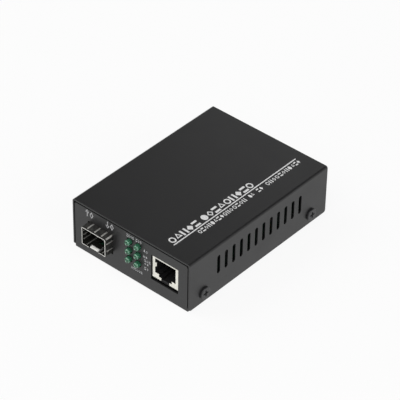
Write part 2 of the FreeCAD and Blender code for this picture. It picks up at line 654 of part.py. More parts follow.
def make_base_pan():
    """Folded pan: floor, front and rear panels, and a low flange along each side."""
    body = new_body("base_pan")
    fold = new_sketch(body, "YZ_Plane")
    draw_steps(fold, ["-case_depth / 2", "0", "case_depth / 2", PANEL_TOP,
                      "case_depth / 2 - base_sheet", "base_sheet",
                      "-case_depth / 2 + base_sheet", PANEL_TOP],
               bends={0: BEND_OUTSIDE_BASE, 1: BEND_OUTSIDE_BASE, 4: "base_bend", 5: "base_bend"})
    pad(body, fold, PANEL_WIDTH, symmetric=True)
    panel_top = number(PANEL_TOP)
    round_edges(body, "panel_corner", lambda edge: runs_along(edge, Y_WAY)
                and abs(edge.BoundBox.ZMax - panel_top) < 1e-6)

    notches = new_sketch(body, "XY_Plane")
    notch_end = "(%s / 2 + relief_width)" % FLANGE_LENGTH
    flange_root = "(%s - %s)" % (FLANGE_X, BEND_OUTSIDE_BASE)
    draw_box(notches, flange_root, "case_width / 2", "-" + notch_end, notch_end)
    draw_box(notches, "-case_width / 2", "-" + flange_root, "-" + notch_end, notch_end)
    pocket(body, notches, backwards=True)
    flanges = new_sketch(body, "XZ_Plane")
    for side in ("", "-"):
        inner, root = ("%s(%s - base_sheet)" % (side, edge) for edge in (FLANGE_X, flange_root))
        draw_steps(flanges, [side + FLANGE_X, "flange_height", inner, "base_sheet", root, "0"],
                   bends={2: "base_bend", 5: BEND_OUTSIDE_BASE})
    pad(body, flanges, FLANGE_LENGTH, symmetric=True)
    taps = new_sketch(body, "YZ_Plane")
    for along in ("screw_front_y", "screw_rear_y"):
        draw_circle(taps, along, "screw_z", "screw_thread / 2")
    pocket(body, taps, symmetric=True)

    front = new_sketch(body, "XZ_Plane")
    draw_window(front, BAY_X, "(cage_width / 2 + bay_window_side)",
                "bay_sill", "%s + cage_height + bay_window_top" % CAGE_FLOOR)
    draw_window(front, JACK_X, "(jack_width / 2 + jack_window_side)",
                "jack_sill", "%s + jack_height + jack_window_top" % BOARD_TOP)
    for column, row in LAMPS:
        draw_circle(front, *lamp_place(column, row), "lamp_diameter / 2 + lamp_hole_play")
    pocket(body, front, backwards=True)
    rear = new_sketch(body, "XZ_Plane")
    draw_window(rear, INLET_X, "(inlet_width / 2 + inlet_window_gap)",
                "%s - inlet_window_gap" % BOARD_TOP, "%s + inlet_height + inlet_window_gap" % BOARD_TOP)
    pocket(body, rear)

    seats = new_sketch(body, "XY_Plane")
    shanks = new_sketch(body, "XY_Plane")
    for across, along in MOUNTS:
        draw_loop(seats, hexagon("standoff_hex", across, along))
        draw_circle(shanks, across, along, "standoff_barrel / 2")
    pocket(body, seats, "standoff_head", backwards=True)
    pocket(body, shanks, backwards=True)
    return keep(body)


def make_top_cover():
    """Folded cover: roof and two side walls with the slots and screw holes."""
    body = new_body("top_cover")
    fold = new_sketch(body, "XZ_Plane")
    draw_steps(fold, ["-case_width / 2", "case_height", "case_width / 2", "skirt_lift",
                      "case_width / 2 - cover_sheet", "case_height - cover_sheet",
                      "-case_width / 2 + cover_sheet", "skirt_lift"],
               bends={0: BEND_OUTSIDE_COVER, 1: BEND_OUTSIDE_COVER, 4: "bend_inside", 5: "bend_inside"})
    pad(body, fold, "case_depth", symmetric=True)
    skirt = number("skirt_lift")
    half_depth = number("case_depth / 2")
    round_edges(body, "skirt_corner", lambda edge: runs_along(edge, X_WAY)
                and abs(edge.BoundBox.ZMax - skirt) < 1e-6
                and abs(abs(edge.BoundBox.YMax) - half_depth) < 1e-6)
    slot = new_sketch(body, "YZ_Plane")
    end = "(vent_height - vent_width) / 2"
    draw_slot(slot, "vent_y - vent_pitch * (vent_count - 1) / 2", "vent_z - " + end, "vent_z + " + end,
              "vent_width / 2")
    first = pocket(body, slot, symmetric=True)
    repeat(body, [first], "Y_Axis", "vent_pitch", "vent_count")
    holes = new_sketch(body, "YZ_Plane")
    for along in ("screw_front_y", "screw_rear_y"):
        draw_circle(holes, along, "screw_z", "screw_thread / 2 + screw_play")
    pocket(body, holes, symmetric=True)
    return keep(body)


def make_pan_screw(name, head, head_height, length, easing):
    """Cross-recessed pan-head screw with its head's seat at the origin, pointing down."""
    body = new_body(name)
    half = new_sketch(body, "XZ_Plane")
    draw_loop(half, [("0", "-" + length), ("screw_thread / 2", "-" + length), ("screw_thread / 2", "0"),
                     (head + " / 2", "0"), (head + " / 2", head_height), ("0", head_height)])
    spin(body, half)
    top = number(head_height)
    round_edges(body, "head_round", lambda edge: abs(edge.BoundBox.ZMin - top) < 1e-6, kind=easing)
    cross = new_sketch(body, "XY_Plane", shift=head_height)
    tip, side = "recess_span / 2", "recess_slot / 2"
    draw_steps(cross, ["-" + side, tip, side, side, tip, "-" + side,
                       side, "-" + tip, "-" + side, "-" + side, "-" + tip, side])
    pocket(body, cross, "recess_depth")
    return body


def make_cover_screws():
    screw = make_pan_screw("cover_screw", "cover_head", "cover_head_height", "cover_screw_length", "Fillet")
    copies = []
    for side, sign in ((1, ""), (-1, "-")):
        for along in ("screw_front_y", "screw_rear_y"):
            link = copy_at(screw, "cover_screw_copy", sign + "case_width / 2", along, "screw_z")
            link.Placement.Rotation = FreeCAD.Rotation(Y_WAY, 90 * side)
            copies.append(link)
    return keep(group("cover_screws", copies))


def make_standoffs():
    """Threaded standoffs pressed into the floor from below."""
    body = new_body("standoff")
    flats = new_sketch(body, "XY_Plane")
    draw_loop(flats, hexagon("standoff_hex", "0", "0"))
    pad(body, flats, "standoff_head")
    barrel = new_sketch(body, "XY_Plane")
    draw_circle(barrel, "0", "0", "standoff_barrel / 2")
    pad(body, barrel, BOARD_UNDER)
    bore = new_sketch(body, "XY_Plane", shift=BOARD_UNDER)
    draw_circle(bore, "0", "0", "screw_thread / 2")
    pocket(body, bore, "standoff_bore")
    return keep(group("board_standoffs", [copy_at(body, "standoff_copy", *spot) for spot in MOUNTS]))


def make_board_screws():
    screw = make_pan_screw("board_screw", "board_head", "board_head_height", "board_screw_length", "Chamfer")
    copies = [copy_at(screw, "board_screw_copy", across, along, BOARD_TOP) for across, along in MOUNTS]
    return keep(group("board_screws", copies))


# ---------------------------------------------------------------------------
# Fibre module bay: cage, spring collar and host connector
# ---------------------------------------------------------------------------
CONNECTOR_FRONT = "(cage_length - cage_sheet - edge_connector_gap - edge_connector_depth)"


def make_cage():
    """Folded cage with its front edge at the origin, open in front and over the connector."""
    body = new_body("fibre_cage")
    ring = new_sketch(body, "XZ_Plane")
    outer, inner = "cage_corner", "(cage_corner - cage_sheet)"
    draw_steps(ring, ["-cage_width / 2", "cage_height", "cage_width / 2", "0"],
               bends={corner: outer for corner in range(4)})
    draw_steps(ring, ["-cage_width / 2 + cage_sheet", "cage_height - cage_sheet",
                      "cage_width / 2 - cage_sheet", "cage_sheet"],
               bends={corner: inner for corner in range(4)})
    pad(body, ring, "cage_length", backwards=True)
    wall = new_sketch(body, "XZ_Plane", shift="cage_sheet - cage_length")
    draw_box(wall, "cage_sheet / 2 - cage_width / 2", "cage_width / 2 - cage_sheet / 2",
             "2 * cage_sheet", "cage_height - cage_sheet / 2")
    pad(body, wall, "cage_sheet", backwards=True)

    floor_cuts = new_sketch(body, "XY_Plane")
    draw_box(floor_cuts, "-edge_connector_width / 2 - cage_sheet", "edge_connector_width / 2 + cage_sheet",
             "%s - edge_connector_gap" % CONNECTOR_FRONT, "cage_length + cage_sheet")
    slit_side = "(tongue_width / 2 + tongue_slit)"
    draw_box(floor_cuts, "-" + slit_side, slit_side, "-cage_sheet", "tongue_length")
    pocket(body, floor_cuts, "2 * cage_sheet", backwards=True)
    tongue = new_sketch(body, "YZ_Plane")
    draw_loop(tongue, [("tongue_length", "0"), ("tongue_length", "cage_sheet"),
                       ("tongue_fold", "tongue_rise + cage_sheet"), ("tongue_start", "cage_sheet"),
                       ("tongue_start", "0"), ("tongue_fold", "tongue_rise")])
    pad(body, tongue, "tongue_width", symmetric=True)
    window = new_sketch(body, "XY_Plane")
    draw_box(window, "-latch_window / 2", "latch_window / 2",
             "tongue_length / 2 - latch_window / 2", "tongue_length / 2 + latch_window / 2")
    pocket(body, window, "tongue_rise + cage_sheet", backwards=True)

    pins = new_sketch(body, "XY_Plane", shift="cage_corner")
    for left, right in (("-cage_width / 2", "cage_sheet - cage_width / 2"),
                        ("cage_width / 2 - cage_sheet", "cage_width / 2")):
        draw_box(pins, left, right, "cage_pin_start", "cage_pin_start + cage_pin_width")
    first = pad(body, pins, "cage_corner + cage_seat + board_sheet + cage_pin_tail", backwards=True)
    pitch = "((cage_length - cage_pin_end - cage_pin_start) / (cage_pin_count - 1))"
    repeat(body, [first], "Y_Axis", pitch, "cage_pin_count")
    place(body, BAY_X, CAGE_FRONT, CAGE_FLOOR)
    return keep(body)


def make_spring_collar():
    """Stamped collar round the cage's mouth whose fingers bow out to the panel's opening."""
    body = new_body("fibre_spring_collar")
    band = new_sketch(body, "XZ_Plane")
    for extra in ("0", "collar_sheet"):
        half_width, half_height = ("(%s / 2 + %s)" % (side, extra) for side in ("cage_width", "cage_height"))
        draw_steps(band, ["-" + half_width, half_height, half_width, "-" + half_height],
                   bends={corner: "(cage_corner + %s)" % extra for corner in range(4)})
    pad(body, band, "collar_band", backwards=True)
    gap = new_sketch(body, "XY_Plane")
    slit_side = "(tongue_width / 2 + tongue_slit)"
    draw_box(gap, "-" + slit_side, slit_side, "-collar_band", "2 * collar_band")
    pocket(body, gap)

    root, tip = "collar_band / 2", "(collar_band + finger_reach)"
    side_bow, top_bow = ("(bay_window_%s - collar_sheet)" % edge for edge in ("side", "top"))
    near, far = "(finger_slit / 2)", "(finger_pitch - finger_slit / 2)"
    beyond = "(finger_pitch + finger_slit / 2)"
    for start, end in ((near, far), (beyond, "(cage_width / 2 - cage_corner)")):
        bow = new_sketch(body, "YZ_Plane", shift=start)
        draw_bow(bow, root, tip, "cage_height / 2", top_bow, "collar_sheet")
        mirror(body, [pad(body, bow, "%s - %s" % (end, start))], "YZ_Plane")
    below = new_sketch(body, "YZ_Plane", shift=slit_side)
    floor_tip = "(collar_band + finger_floor_reach)"
    draw_bow(below, root, floor_tip, "-cage_height / 2", "-" + top_bow, "collar_sheet")
    mirror(body, [pad(body, below, "cage_width / 2 - cage_corner - " + slit_side)], "YZ_Plane")

    centre = new_sketch(body, "XY_Plane")
    draw_bow(centre, root, tip, "cage_width / 2", side_bow, "collar_sheet", upright=True)
    mirror(body, [pad(body, centre, "finger_pitch - finger_slit", symmetric=True)], "YZ_Plane")
    edge_finger = new_sketch(body, "XY_Plane", shift="(finger_pitch + finger_slit) / 2")
    draw_bow(edge_finger, root, tip, "cage_width / 2", side_bow, "collar_sheet", upright=True)
    upper = pad(body, edge_finger, "cage_height / 2 - cage_corner - (finger_pitch + finger_slit) / 2")
    across = body.newObject("PartDesign::Mirrored", "collar_across")
    across.MirrorPlane = (origin_plane(body, "YZ_Plane"), [""])
    down = body.newObject("PartDesign::Mirrored", "collar_down")
    down.MirrorPlane = (origin_plane(body, "XY_Plane"), [""])
    combine(body, [upper], [across, down])
    place(body, BAY_X, CAGE_FRONT, "%s + cage_height / 2" % CAGE_FLOOR)
    return keep(body)


def draw_lead(sketch, start, reach, exit_height, way=""):
    """Side view of a gull-wing lead from a package's wall to its foot on the board.

    way is "-" for a lead that runs the other way.
    """
    knee = "%s + %s - lead_foot" % (start, reach)
    places = [start, knee + " + lead_sheet", "%s + %s" % (start, reach), knee]
    near, out, toe, under = ("%s(%s)" % (way, text) for text in places)
    draw_steps(sketch, [near, exit_height + " + lead_sheet", out, "lead_sheet", toe, "0", under, exit_height])


def make_host_connector():
    body = new_body("fibre_host_connector")
    block = new_sketch(body, "XY_Plane")
    draw_box(block, "-edge_connector_width / 2", "edge_connector_width / 2", "0", "edge_connector_depth")
    pad(body, block, "edge_connector_height")
    slot = new_sketch(body, "XZ_Plane")
    draw_window(slot, "0", "edge_slot_width / 2", "edge_slot_z", "edge_slot_z + edge_slot_height")
    pocket(body, slot, "edge_slot_depth")
    place(body, BAY_X, "%s + %s" % (CAGE_FRONT, CONNECTOR_FRONT), BOARD_TOP)
    return keep(body)


def make_host_contacts():
    """Front and rear rows of contact feet of the host connector."""
    body = new_body("fibre_host_contacts")
    first_x = "-edge_contact_pitch * (edge_contact_count - 1) / 2 - edge_contact_width / 2"
    for start, way in (("0", "-"), ("edge_connector_depth", "")):
        foot = new_sketch(body, "YZ_Plane", shift=first_x)
        draw_lead(foot, start, "lead_reach", "edge_contact_width", way)
        first = pad(body, foot, "edge_contact_width")
        repeat(body, [first], "X_Axis", "edge_contact_pitch", "edge_contact_count")
    place(body, BAY_X, "%s + %s" % (CAGE_FRONT, CONNECTOR_FRONT), BOARD_TOP)
    return keep(body)


# ---------------------------------------------------------------------------
# Network jack: shield, housing and contacts
# ---------------------------------------------------------------------------
PLUG_TOP = "(jack_height - plug_lip)"
CHAMBER_FRONT = "(plug_depth + cavity_wall)"


def draw_plug_opening(sketch):
    """Stepped opening for the plug, its latch slot open at the jack's bottom."""
    shoulder = "(%s - plug_height)" % PLUG_TOP
    step = "(%s - latch_step)" % shoulder
    draw_steps(sketch, ["-plug_width / 2", PLUG_TOP, "plug_width / 2", shoulder, "latch_width / 2", step,
                        "latch_foot_width / 2", "-shield_sheet", "-latch_foot_width / 2", step,
                        "-latch_width / 2", shoulder])


def make_jack_shield():
    """Folded shield with its face at the origin; side springs and ground pegs are part of it."""
    body = new_body("jack_shield")
    block = new_sketch(body, "XY_Plane")
    draw_box(block, "-jack_width / 2", "jack_width / 2", "0", "jack_depth")
    pad(body, block, "jack_height")
    round_edges(body, "shield_sheet", lambda edge: runs_along(edge, Z_WAY)
                or edge.BoundBox.ZMin > number("jack_height") - 1e-6)
    inside = new_sketch(body, "XY_Plane")
    draw_box(inside, "shield_sheet - jack_width / 2", "jack_width / 2 - shield_sheet",
             "shield_sheet", "jack_depth - shield_sheet")
    pocket(body, inside, "jack_height - shield_sheet", backwards=True)
    mouth = new_sketch(body, "XZ_Plane")
    draw_plug_opening(mouth)
    pocket(body, mouth, "2 * shield_sheet")
    springs = new_sketch(body, "XY_Plane", shift="shield_spring_z - %s - shield_spring / 2" % BOARD_TOP)
    for side in ("", "-"):
        outer, inner = ("%s(plug_width / 2%s)" % (side, text)
                        for text in ("", " - shield_spring_push"))
        back = "%s(plug_width / 2 - shield_spring_push + shield_sheet)" % side
        draw_loop(springs, [(outer, "0"), (inner, "shield_spring_push"), (inner, "shield_spring_reach"),
                            (back, "shield_spring_reach"), (back, "shield_spring_push + shield_sheet"),
                            (outer, "shield_sheet")])
    pad(body, springs, "shield_spring")
    pegs = new_sketch(body, "XY_Plane", shift="shield_peg_width")
    for left, right in (("-jack_width / 2", "shield_sheet - jack_width / 2"),
                        ("jack_width / 2 - shield_sheet", "jack_width / 2")):
        draw_box(pegs, left, right, "shield_peg_back", "shield_peg_back + shield_peg_width")
    pad(body, pegs, "shield_peg_width + board_sheet + tail", backwards=True)
    place(body, JACK_X, JACK_FACE, BOARD_TOP)
    return keep(body)


def make_jack_housing():
    """Moulded housing inside the shield, with the plug cavity and the contact chamber."""
    body = new_body("jack_housing")
    block = new_sketch(body, "XY_Plane")
    draw_box(block, "shield_sheet - jack_width / 2", "jack_width / 2 - shield_sheet",
             "shield_sheet", "jack_depth - shield_sheet")
    pad(body, block, "jack_height - shield_sheet")
    cavity = new_sketch(body, "XZ_Plane")
    draw_plug_opening(cavity)
    pocket(body, cavity, "plug_depth")
    half_chamber = "(contact_pitch * 4 + contact_wire)"
    chamber = new_sketch(body, "XY_Plane")
    draw_box(chamber, "-" + half_chamber, half_chamber, CHAMBER_FRONT, CHAMBER_FRONT + " + contact_chamber")
    pocket(body, chamber, PLUG_TOP, backwards=True)
    over_wall = new_sketch(body, "XZ_Plane", shift="-plug_depth")
    draw_box(over_wall, "-" + half_chamber, half_chamber, PLUG_TOP + " - contact_slot", PLUG_TOP)
    pocket(body, over_wall, "cavity_wall + contact_wire")
    pegs = new_sketch(body, "XY_Plane")
    for side in ("", "-"):
        draw_circle(pegs, side + "jack_peg_pitch / 2", "jack_peg_back", "jack_peg / 2")
    pad(body, pegs, "board_sheet + contact_wire", backwards=True)
    place(body, JACK_X, JACK_FACE, BOARD_TOP)
    return keep(body)


def make_jack_contacts():
    """Eight spring wires: up from the board, along the cavity's roof and back down in a slope."""
    body = new_body("jack_contacts")
    roof = "(%s - contact_wire / 2)" % PLUG_TOP
    tail_end = "-(board_sheet + tail)"
    for row in range(2):
        across = "(contact_pitch * %.1f)" % (row - 3.5)
        drop = "(%s + contact_chamber / 2 + contact_row_step * %.1f)" % (CHAMBER_FRONT, row - 0.5)
        route = new_sketch(body, "YZ_Plane", shift=across)
        draw_path(route, [(drop, tail_end), (drop, roof), ("contact_nose", roof),
                          ("contact_nose", roof + " - contact_bend * 2.5"),
                          ("plug_depth - contact_tip", roof + " - contact_fall")],
                  ["contact_wire"] + ["contact_bend"] * 2)
        section = new_sketch(body, "XY_Plane", shift=tail_end)
        draw_box(section, across + " - contact_wire / 2", across + " + contact_wire / 2",
                 drop + " - contact_wire / 2", drop + " + contact_wire / 2")
        wire = body.newObject("PartDesign::AdditivePipe", "jack_contact_wire")
        wire.Profile = section
        wire.Spine = (route, [])
        body.Tip = wire
        repeat(body, [wire], "X_Axis", "(2 * contact_pitch)", "4")
    place(body, JACK_X, JACK_FACE, BOARD_TOP)
    return keep(body)


# ---------------------------------------------------------------------------
# Indicator lamps
# ---------------------------------------------------------------------------
def draw_lens(sketch):
    """Half section of a lens: rim at the back, straight barrel, round dome in front."""
    rim, barrel = "lamp_rim_diameter / 2", "lamp_diameter / 2"
    dome = "%s - lamp_length" % barrel
    spots = [("0", "0"), (rim, "0"), (rim, "-lamp_rim"), (barrel, "-lamp_rim"), (barrel, dome)]
    points = [point(*spot) for spot in spots]
    lines = [sketch.addGeometry(Part.LineSegment(*ends), False) for ends in zip(points, points[1:])]
    centre = point("0", dome)
    tip = point("0", "-lamp_length")
    arc = draw_arc(sketch, centre, number(barrel), tip, points[-1])
    axis = sketch.addGeometry(Part.LineSegment(tip, points[0]), False)
    for index, (across, up) in enumerate(spots[:-1]):
        fix(sketch, "DistanceX", lines[index], 1, across)
        fix(sketch, "DistanceY", lines[index], 1, up)
    for line, after in zip(lines, lines[1:]):
        sketch.addConstraint(Sketcher.Constraint("Coincident", line, 2, after, 1))
    sketch.addConstraint(Sketcher.Constraint("Vertical", lines[-1]))
    sketch.addConstraint(Sketcher.Constraint("Tangent", lines[-1], 2, arc, 2))
    fix(sketch, "DistanceX", arc, 3, "0")
    fix(sketch, "DistanceY", arc, 3, dome)
    fix(sketch, "DistanceX", arc, 1, "0")
    sketch.addConstraint(Sketcher.Constraint("Coincident", arc, 1, axis, 1))
    sketch.addConstraint(Sketcher.Constraint("Coincident", axis, 2, lines[0], 1))


def make_lamp(column, row):
    """One lamp: its lens and, as a second piece, its two bent leads."""
    label = "%s_%s" % (("left", "right")[column], ("low", "mid", "top")[row])
    across, up = lamp_place(column, row)
    lens = new_body("lamp_%s" % label)
    half = new_sketch(lens, "XY_Plane")
    draw_lens(half)
    spin(lens, half)
    place(lens, across, LAMP_BACK, up)

    leads = new_body("lamp_leads_%s" % label)
    reach = "(lamp_lead_reach + %d * lamp_lead_step)" % row
    foot = "-(%s - %s + tail)" % (up, BOARD_UNDER)
    side = new_sketch(leads, "YZ_Plane", shift="(lamp_lead_pitch - lamp_lead) / 2")
    draw_steps(side, ["0", "lamp_lead / 2", reach + " + lamp_lead / 2", foot, reach + " - lamp_lead / 2",
                      "-lamp_lead / 2"],
               bends={1: "(lamp_lead_bend + lamp_lead)", 4: "lamp_lead_bend"})
    mirror(leads, [pad(leads, side, "lamp_lead")], "YZ_Plane")
    place(leads, across, LAMP_BACK, up)
    return keep(lens), keep(leads)


# ---------------------------------------------------------------------------
# Power inlet
# ---------------------------------------------------------------------------
SOCKET_FLOOR = "(inlet_axis - inlet_bore / 2)"
GROOVE_FLOOR = "(inlet_axis - inlet_bore / 2 - inlet_groove)"


def make_inlet_housing():
    """Moulded socket: a square face block with a round-backed body behind it."""
    body = new_body("inlet_housing")
    face = new_sketch(body, "XY_Plane")
    draw_box(face, "-inlet_width / 2", "inlet_width / 2", "-inlet_face", "0")
    pad(body, face, "inlet_height")
    lower = new_sketch(body, "XZ_Plane", shift="inlet_face")
    draw_box(lower, "-inlet_width / 2", "inlet_width / 2", "0", "inlet_axis")
    pad(body, lower, "inlet_depth - inlet_face")
    barrel = new_sketch(body, "XZ_Plane", shift="inlet_face")
    draw_circle(barrel, "0", "inlet_axis", "inlet_width / 2")
    pad(body, barrel, "inlet_depth - inlet_face")
    socket = new_sketch(body, "XZ_Plane")
    draw_circle(socket, "0", "inlet_axis", "inlet_bore / 2")
    pocket(body, socket, "inlet_bore_depth", backwards=True)
    pin_hole = new_sketch(body, "XZ_Plane")
    draw_circle(pin_hole, "0", "inlet_axis", "inlet_pin_rivet / 2")
    pocket(body, pin_hole, backwards=True)
    groove = new_sketch(body, "XZ_Plane", shift="inlet_groove_start")
    draw_box(groove, "-inlet_blade_width / 2", "inlet_blade_width / 2", GROOVE_FLOOR, "inlet_axis")
    pocket(body, groove, "inlet_bore_depth - inlet_groove_start", backwards=True)
    slot = new_sketch(body, "XY_Plane")
    draw_box(slot, "-inlet_blade_width / 2", "inlet_blade_width / 2",
             "-inlet_bore_depth", "inlet_blade - inlet_bore_depth")
    pocket(body, slot, SOCKET_FLOOR, backwards=True)
    place(body, INLET_X, INLET_FACE, BOARD_TOP)
    return keep(body)


def make_inlet_pin():
    """Turned pin in the socket, riveted through its rear wall."""
    body = new_body("inlet_centre_pin")
    disc = new_sketch(body, "XZ_Plane", shift="inlet_pin_set_back")
    draw_circle(disc, "0", "inlet_axis", "inlet_pin / 2")
    pad(body, disc, "inlet_bore_depth - inlet_pin_set_back")
    tip = number("-inlet_pin_set_back")
    round_edges(body, "inlet_pin / 4", lambda edge: edge.BoundBox.YMin > tip - 1e-6, kind="Chamfer")
    rivet = new_sketch(body, "XZ_Plane", shift="inlet_pin_set_back + inlet_pin")
    draw_circle(rivet, "0", "inlet_axis", "inlet_pin_rivet / 2")
    pad(body, rivet, "inlet_depth - inlet_pin_set_back - inlet_pin")
    place(body, INLET_X, INLET_FACE, BOARD_TOP)
    return keep(body)


def make_inlet_blade(name, left, right, rear, front, top):
    """Flat terminal that runs down through the board."""
    body = new_body(name)
    plan = new_sketch(body, "XY_Plane", shift="-(board_sheet + tail)")
    draw_box(plan, left, right, rear, front)
    pad(body, plan, "board_sheet + tail + " + top)
    place(body, INLET_X, INLET_FACE, BOARD_TOP)
    return keep(body)


def make_inlet_spring():
    """Sleeve spring along the socket's floor, turned down through the housing and the board."""
    body = new_body("inlet_sleeve_spring")
    side = new_sketch(body, "YZ_Plane")
    draw_steps(side, ["-inlet_groove_start", GROOVE_FLOOR + " + inlet_blade", "-inlet_bore_depth",
                      "-(board_sheet + tail)", "inlet_blade - inlet_bore_depth", GROOVE_FLOOR])
    pad(body, side, "inlet_spring_width", symmetric=True)
    place(body, INLET_X, INLET_FACE, BOARD_TOP)
    return keep(body)


# ---------------------------------------------------------------------------
# Parts on the circuit board
# ---------------------------------------------------------------------------
def from_side(inset, sign=""):
    """Across place that keeps its distance from the board's right side, or its left with "-"."""
    return "%s(%s / 2 - %s)" % (sign, BOARD_WIDTH, inset)


def from_end(setback, sign=""):
    """Along place that keeps its distance from the board's rear end, or its front with "-"."""
    return "%s(%s / 2 - %s)" % (sign, BOARD_LENGTH, setback)


BOARD_SPOTS = {
    "processor": ("processor_x", "processor_y"),
    "transformer": (from_side("transformer_inset"), from_end("transformer_setback", "-")),
    "memory": (from_side("memory_inset", "-"), from_end("memory_setback")),
    "regulator": (from_side("regulator_inset"), from_end("regulator_setback")),
    "diode": (from_side("diode_inset"), from_end("diode_setback")),
    "crystal": (from_side("crystal_inset", "-"), "crystal_y"),
    "input_capacitor": ("input_capacitor_x", from_end("input_capacitor_setback")),
    "output_capacitor": ("output_capacitor_x", from_end("output_capacitor_setback")),
    "inductor": (from_side("inductor_inset"), from_end("inductor_setback")),
}


def make_chip(name, length, width, height):
    """Moulded chip body with bevelled upper edges and a dot in one corner."""
    body = new_body(name)
    plan = new_sketch(body, "XY_Plane", shift="chip_lift")
    draw_box(plan, "-%s / 2" % length, "%s / 2" % length, "-%s / 2" % width, "%s / 2" % width)
    pad(body, plan, height)
    top = number("chip_lift + " + height)
    round_edges(body, "chip_lift", lambda edge: edge.BoundBox.ZMin > top - 1e-6, kind="Chamfer")
    place(body, *BOARD_SPOTS[name], BOARD_TOP)
    return keep(body)


def make_chip_leads(name, half_width, height, lead_width, pitch, count, four_sides=False):
    """Rows of gull-wing leads on two or four sides of a chip."""
    body = new_body(name + "_leads")
    lead = new_sketch(body, "YZ_Plane", shift="-%s * (%s - 1) / 2 - %s / 2" % (pitch, count, lead_width))
    draw_lead(lead, half_width, "lead_reach", "chip_lift + %s / 2" % height)
    first = pad(body, lead, lead_width)
    row = body.newObject("PartDesign::LinearPattern", name + "_row")
    row.Direction = (origin_plane(body, "X_Axis"), [""])
    bind(row, "Length", "%s * (%s - 1)" % (pitch, count))
    bind(row, "Occurrences", count)
    turn = body.newObject("PartDesign::PolarPattern", name + "_turn")
    turn.Axis = (origin_plane(body, "Z_Axis"), [""])
    turn.Angle = 360
    turn.Occurrences = 4 if four_sides else 2
    combine(body, [first], [row, turn])
    place(body, *BOARD_SPOTS[name], BOARD_TOP)
    return keep(body)


def make_crystal():
    can = new_body("crystal_can")
    half_run = "(crystal_length - crystal_width) / 2"
    for extra, height in (("crystal_flange", "crystal_flange"), ("0", "crystal_height")):
        plan = new_sketch(can, "XY_Plane")
        draw_slot(plan, "0", "-" + half_run, half_run, "(crystal_width / 2 + %s)" % extra)
        pad(can, plan, height)
    top = number("crystal_height")
    round_edges(can, "crystal_flange", lambda edge: edge.BoundBox.ZMin > top - 1e-6, kind="Chamfer")
    place(can, *BOARD_SPOTS["crystal"], BOARD_TOP)
    return keep(can)


def make_wire_pair(name, pitch, diameter, lengthwise=False):
    """Two straight leads under a part, through the board."""
    body = new_body(name + "_leads")
    plan = new_sketch(body, "XY_Plane")
    for side in ("", "-"):
        offset = "%s%s / 2" % (side, pitch)
        spot = ("0", offset) if lengthwise else (offset, "0")
        draw_circle(plan, *spot, diameter + " / 2")
    pad(body, plan, "board_sheet + tail", backwards=True)
    place(body, *BOARD_SPOTS[name], BOARD_TOP)
    return keep(body)


def make_capacitor(name):
    """Crimped can of an electrolytic capacitor, standing on the board."""
    body = new_body(name)
    radius, height = name + "_diameter / 2", name + "_height"
    half = new_sketch(body, "XZ_Plane")
    draw_loop(half, [("0", "0"), (radius, "0"), (radius, "2 * can_groove"),
                     (radius + " - can_groove", "3 * can_groove"), (radius, "4 * can_groove"),
                     (radius, height), ("0", height)])
    spin(body, half)
    top = number(height)
    round_edges(body, "can_rim", lambda edge: edge.BoundBox.ZMin > top - 1e-6, kind="Chamfer")
    place(body, *BOARD_SPOTS[name], BOARD_TOP)
    return keep(body)


def make_inductor():
    core = new_body("inductor_core")
    base = new_sketch(core, "XY_Plane")
    draw_box(base, "-inductor_size / 2", "inductor_size / 2", "-inductor_size / 2", "inductor_size / 2")
    pad(core, base, "inductor_flange")
    waist = new_sketch(core, "XY_Plane")
    draw_circle(waist, "0", "0", "inductor_waist / 2")
    pad(core, waist, "inductor_height")
    cap = new_sketch(core, "XY_Plane", shift="inductor_height - inductor_flange")
    draw_circle(cap, "0", "0", "inductor_size / 2")
    pad(core, cap, "inductor_flange")
    place(core, *BOARD_SPOTS["inductor"], BOARD_TOP)
    winding = new_body("inductor_winding")
    ring = new_sketch(winding, "XY_Plane", shift="inductor_flange")
    draw_circle(ring, "0", "0", "inductor_coil / 2")
    draw_circle(ring, "0", "0", "inductor_waist / 2")
    pad(winding, ring, "inductor_height - 2 * inductor_flange")
    place(winding, *BOARD_SPOTS["inductor"], BOARD_TOP)
    return keep(core), keep(winding)


def make_block_row(name, length, width, height, first_x, along, pitch, count):
    """Row of small rectangular chip parts."""
    body = new_body(name)
    plan = new_sketch(body, "XY_Plane")
    draw_box(plan, "-%s / 2" % width, "%s / 2" % width, "-%s / 2" % length, "%s / 2" % length)
    repeat(body, [pad(body, plan, height)], "X_Axis", pitch, count)
    place(body, first_x, along, BOARD_TOP)
    return keep(body)


def make_circuit_board(through_board):
    """Board with screw holes and with a hole for every lead, pin and peg that goes through it."""
    blank = doc.addObject("Part::Box", "board_blank")
    bind(blank, "Length", BOARD_WIDTH)
    bind(blank, "Width", BOARD_LENGTH)
    bind(blank, "Height", "board_sheet")
    place(blank, "-%s / 2" % BOARD_WIDTH, "-%s / 2" % BOARD_LENGTH, BOARD_UNDER)
    tools = list(through_board)
    for across, along in MOUNTS:
        drill = doc.addObject("Part::Cylinder", "board_drill")
        bind(drill, "Radius", "screw_thread / 2 + screw_play")
        bind(drill, "Height", "3 * board_sheet")
        place(drill, across, along, "%s - board_sheet" % BOARD_UNDER)
        tools.append(drill)
    board = doc.addObject("Part::Cut", "circuit_board")
    board.Label = "circuit_board"
    board.Base = blank
    board.Tool = group("board_holes", tools)
    return keep(board)


# ---------------------------------------------------------------------------
# Assembly
# ---------------------------------------------------------------------------
make_base_pan()
make_top_cover()
make_cover_screws()
make_standoffs()
make_board_screws()

through = [make_cage()]
make_spring_collar()
make_host_connector()
make_host_contacts()
through += [make_jack_shield(), make_jack_housing(), make_jack_contacts()]
through += [make_lamp(column, row)[1] for column, row in LAMPS]

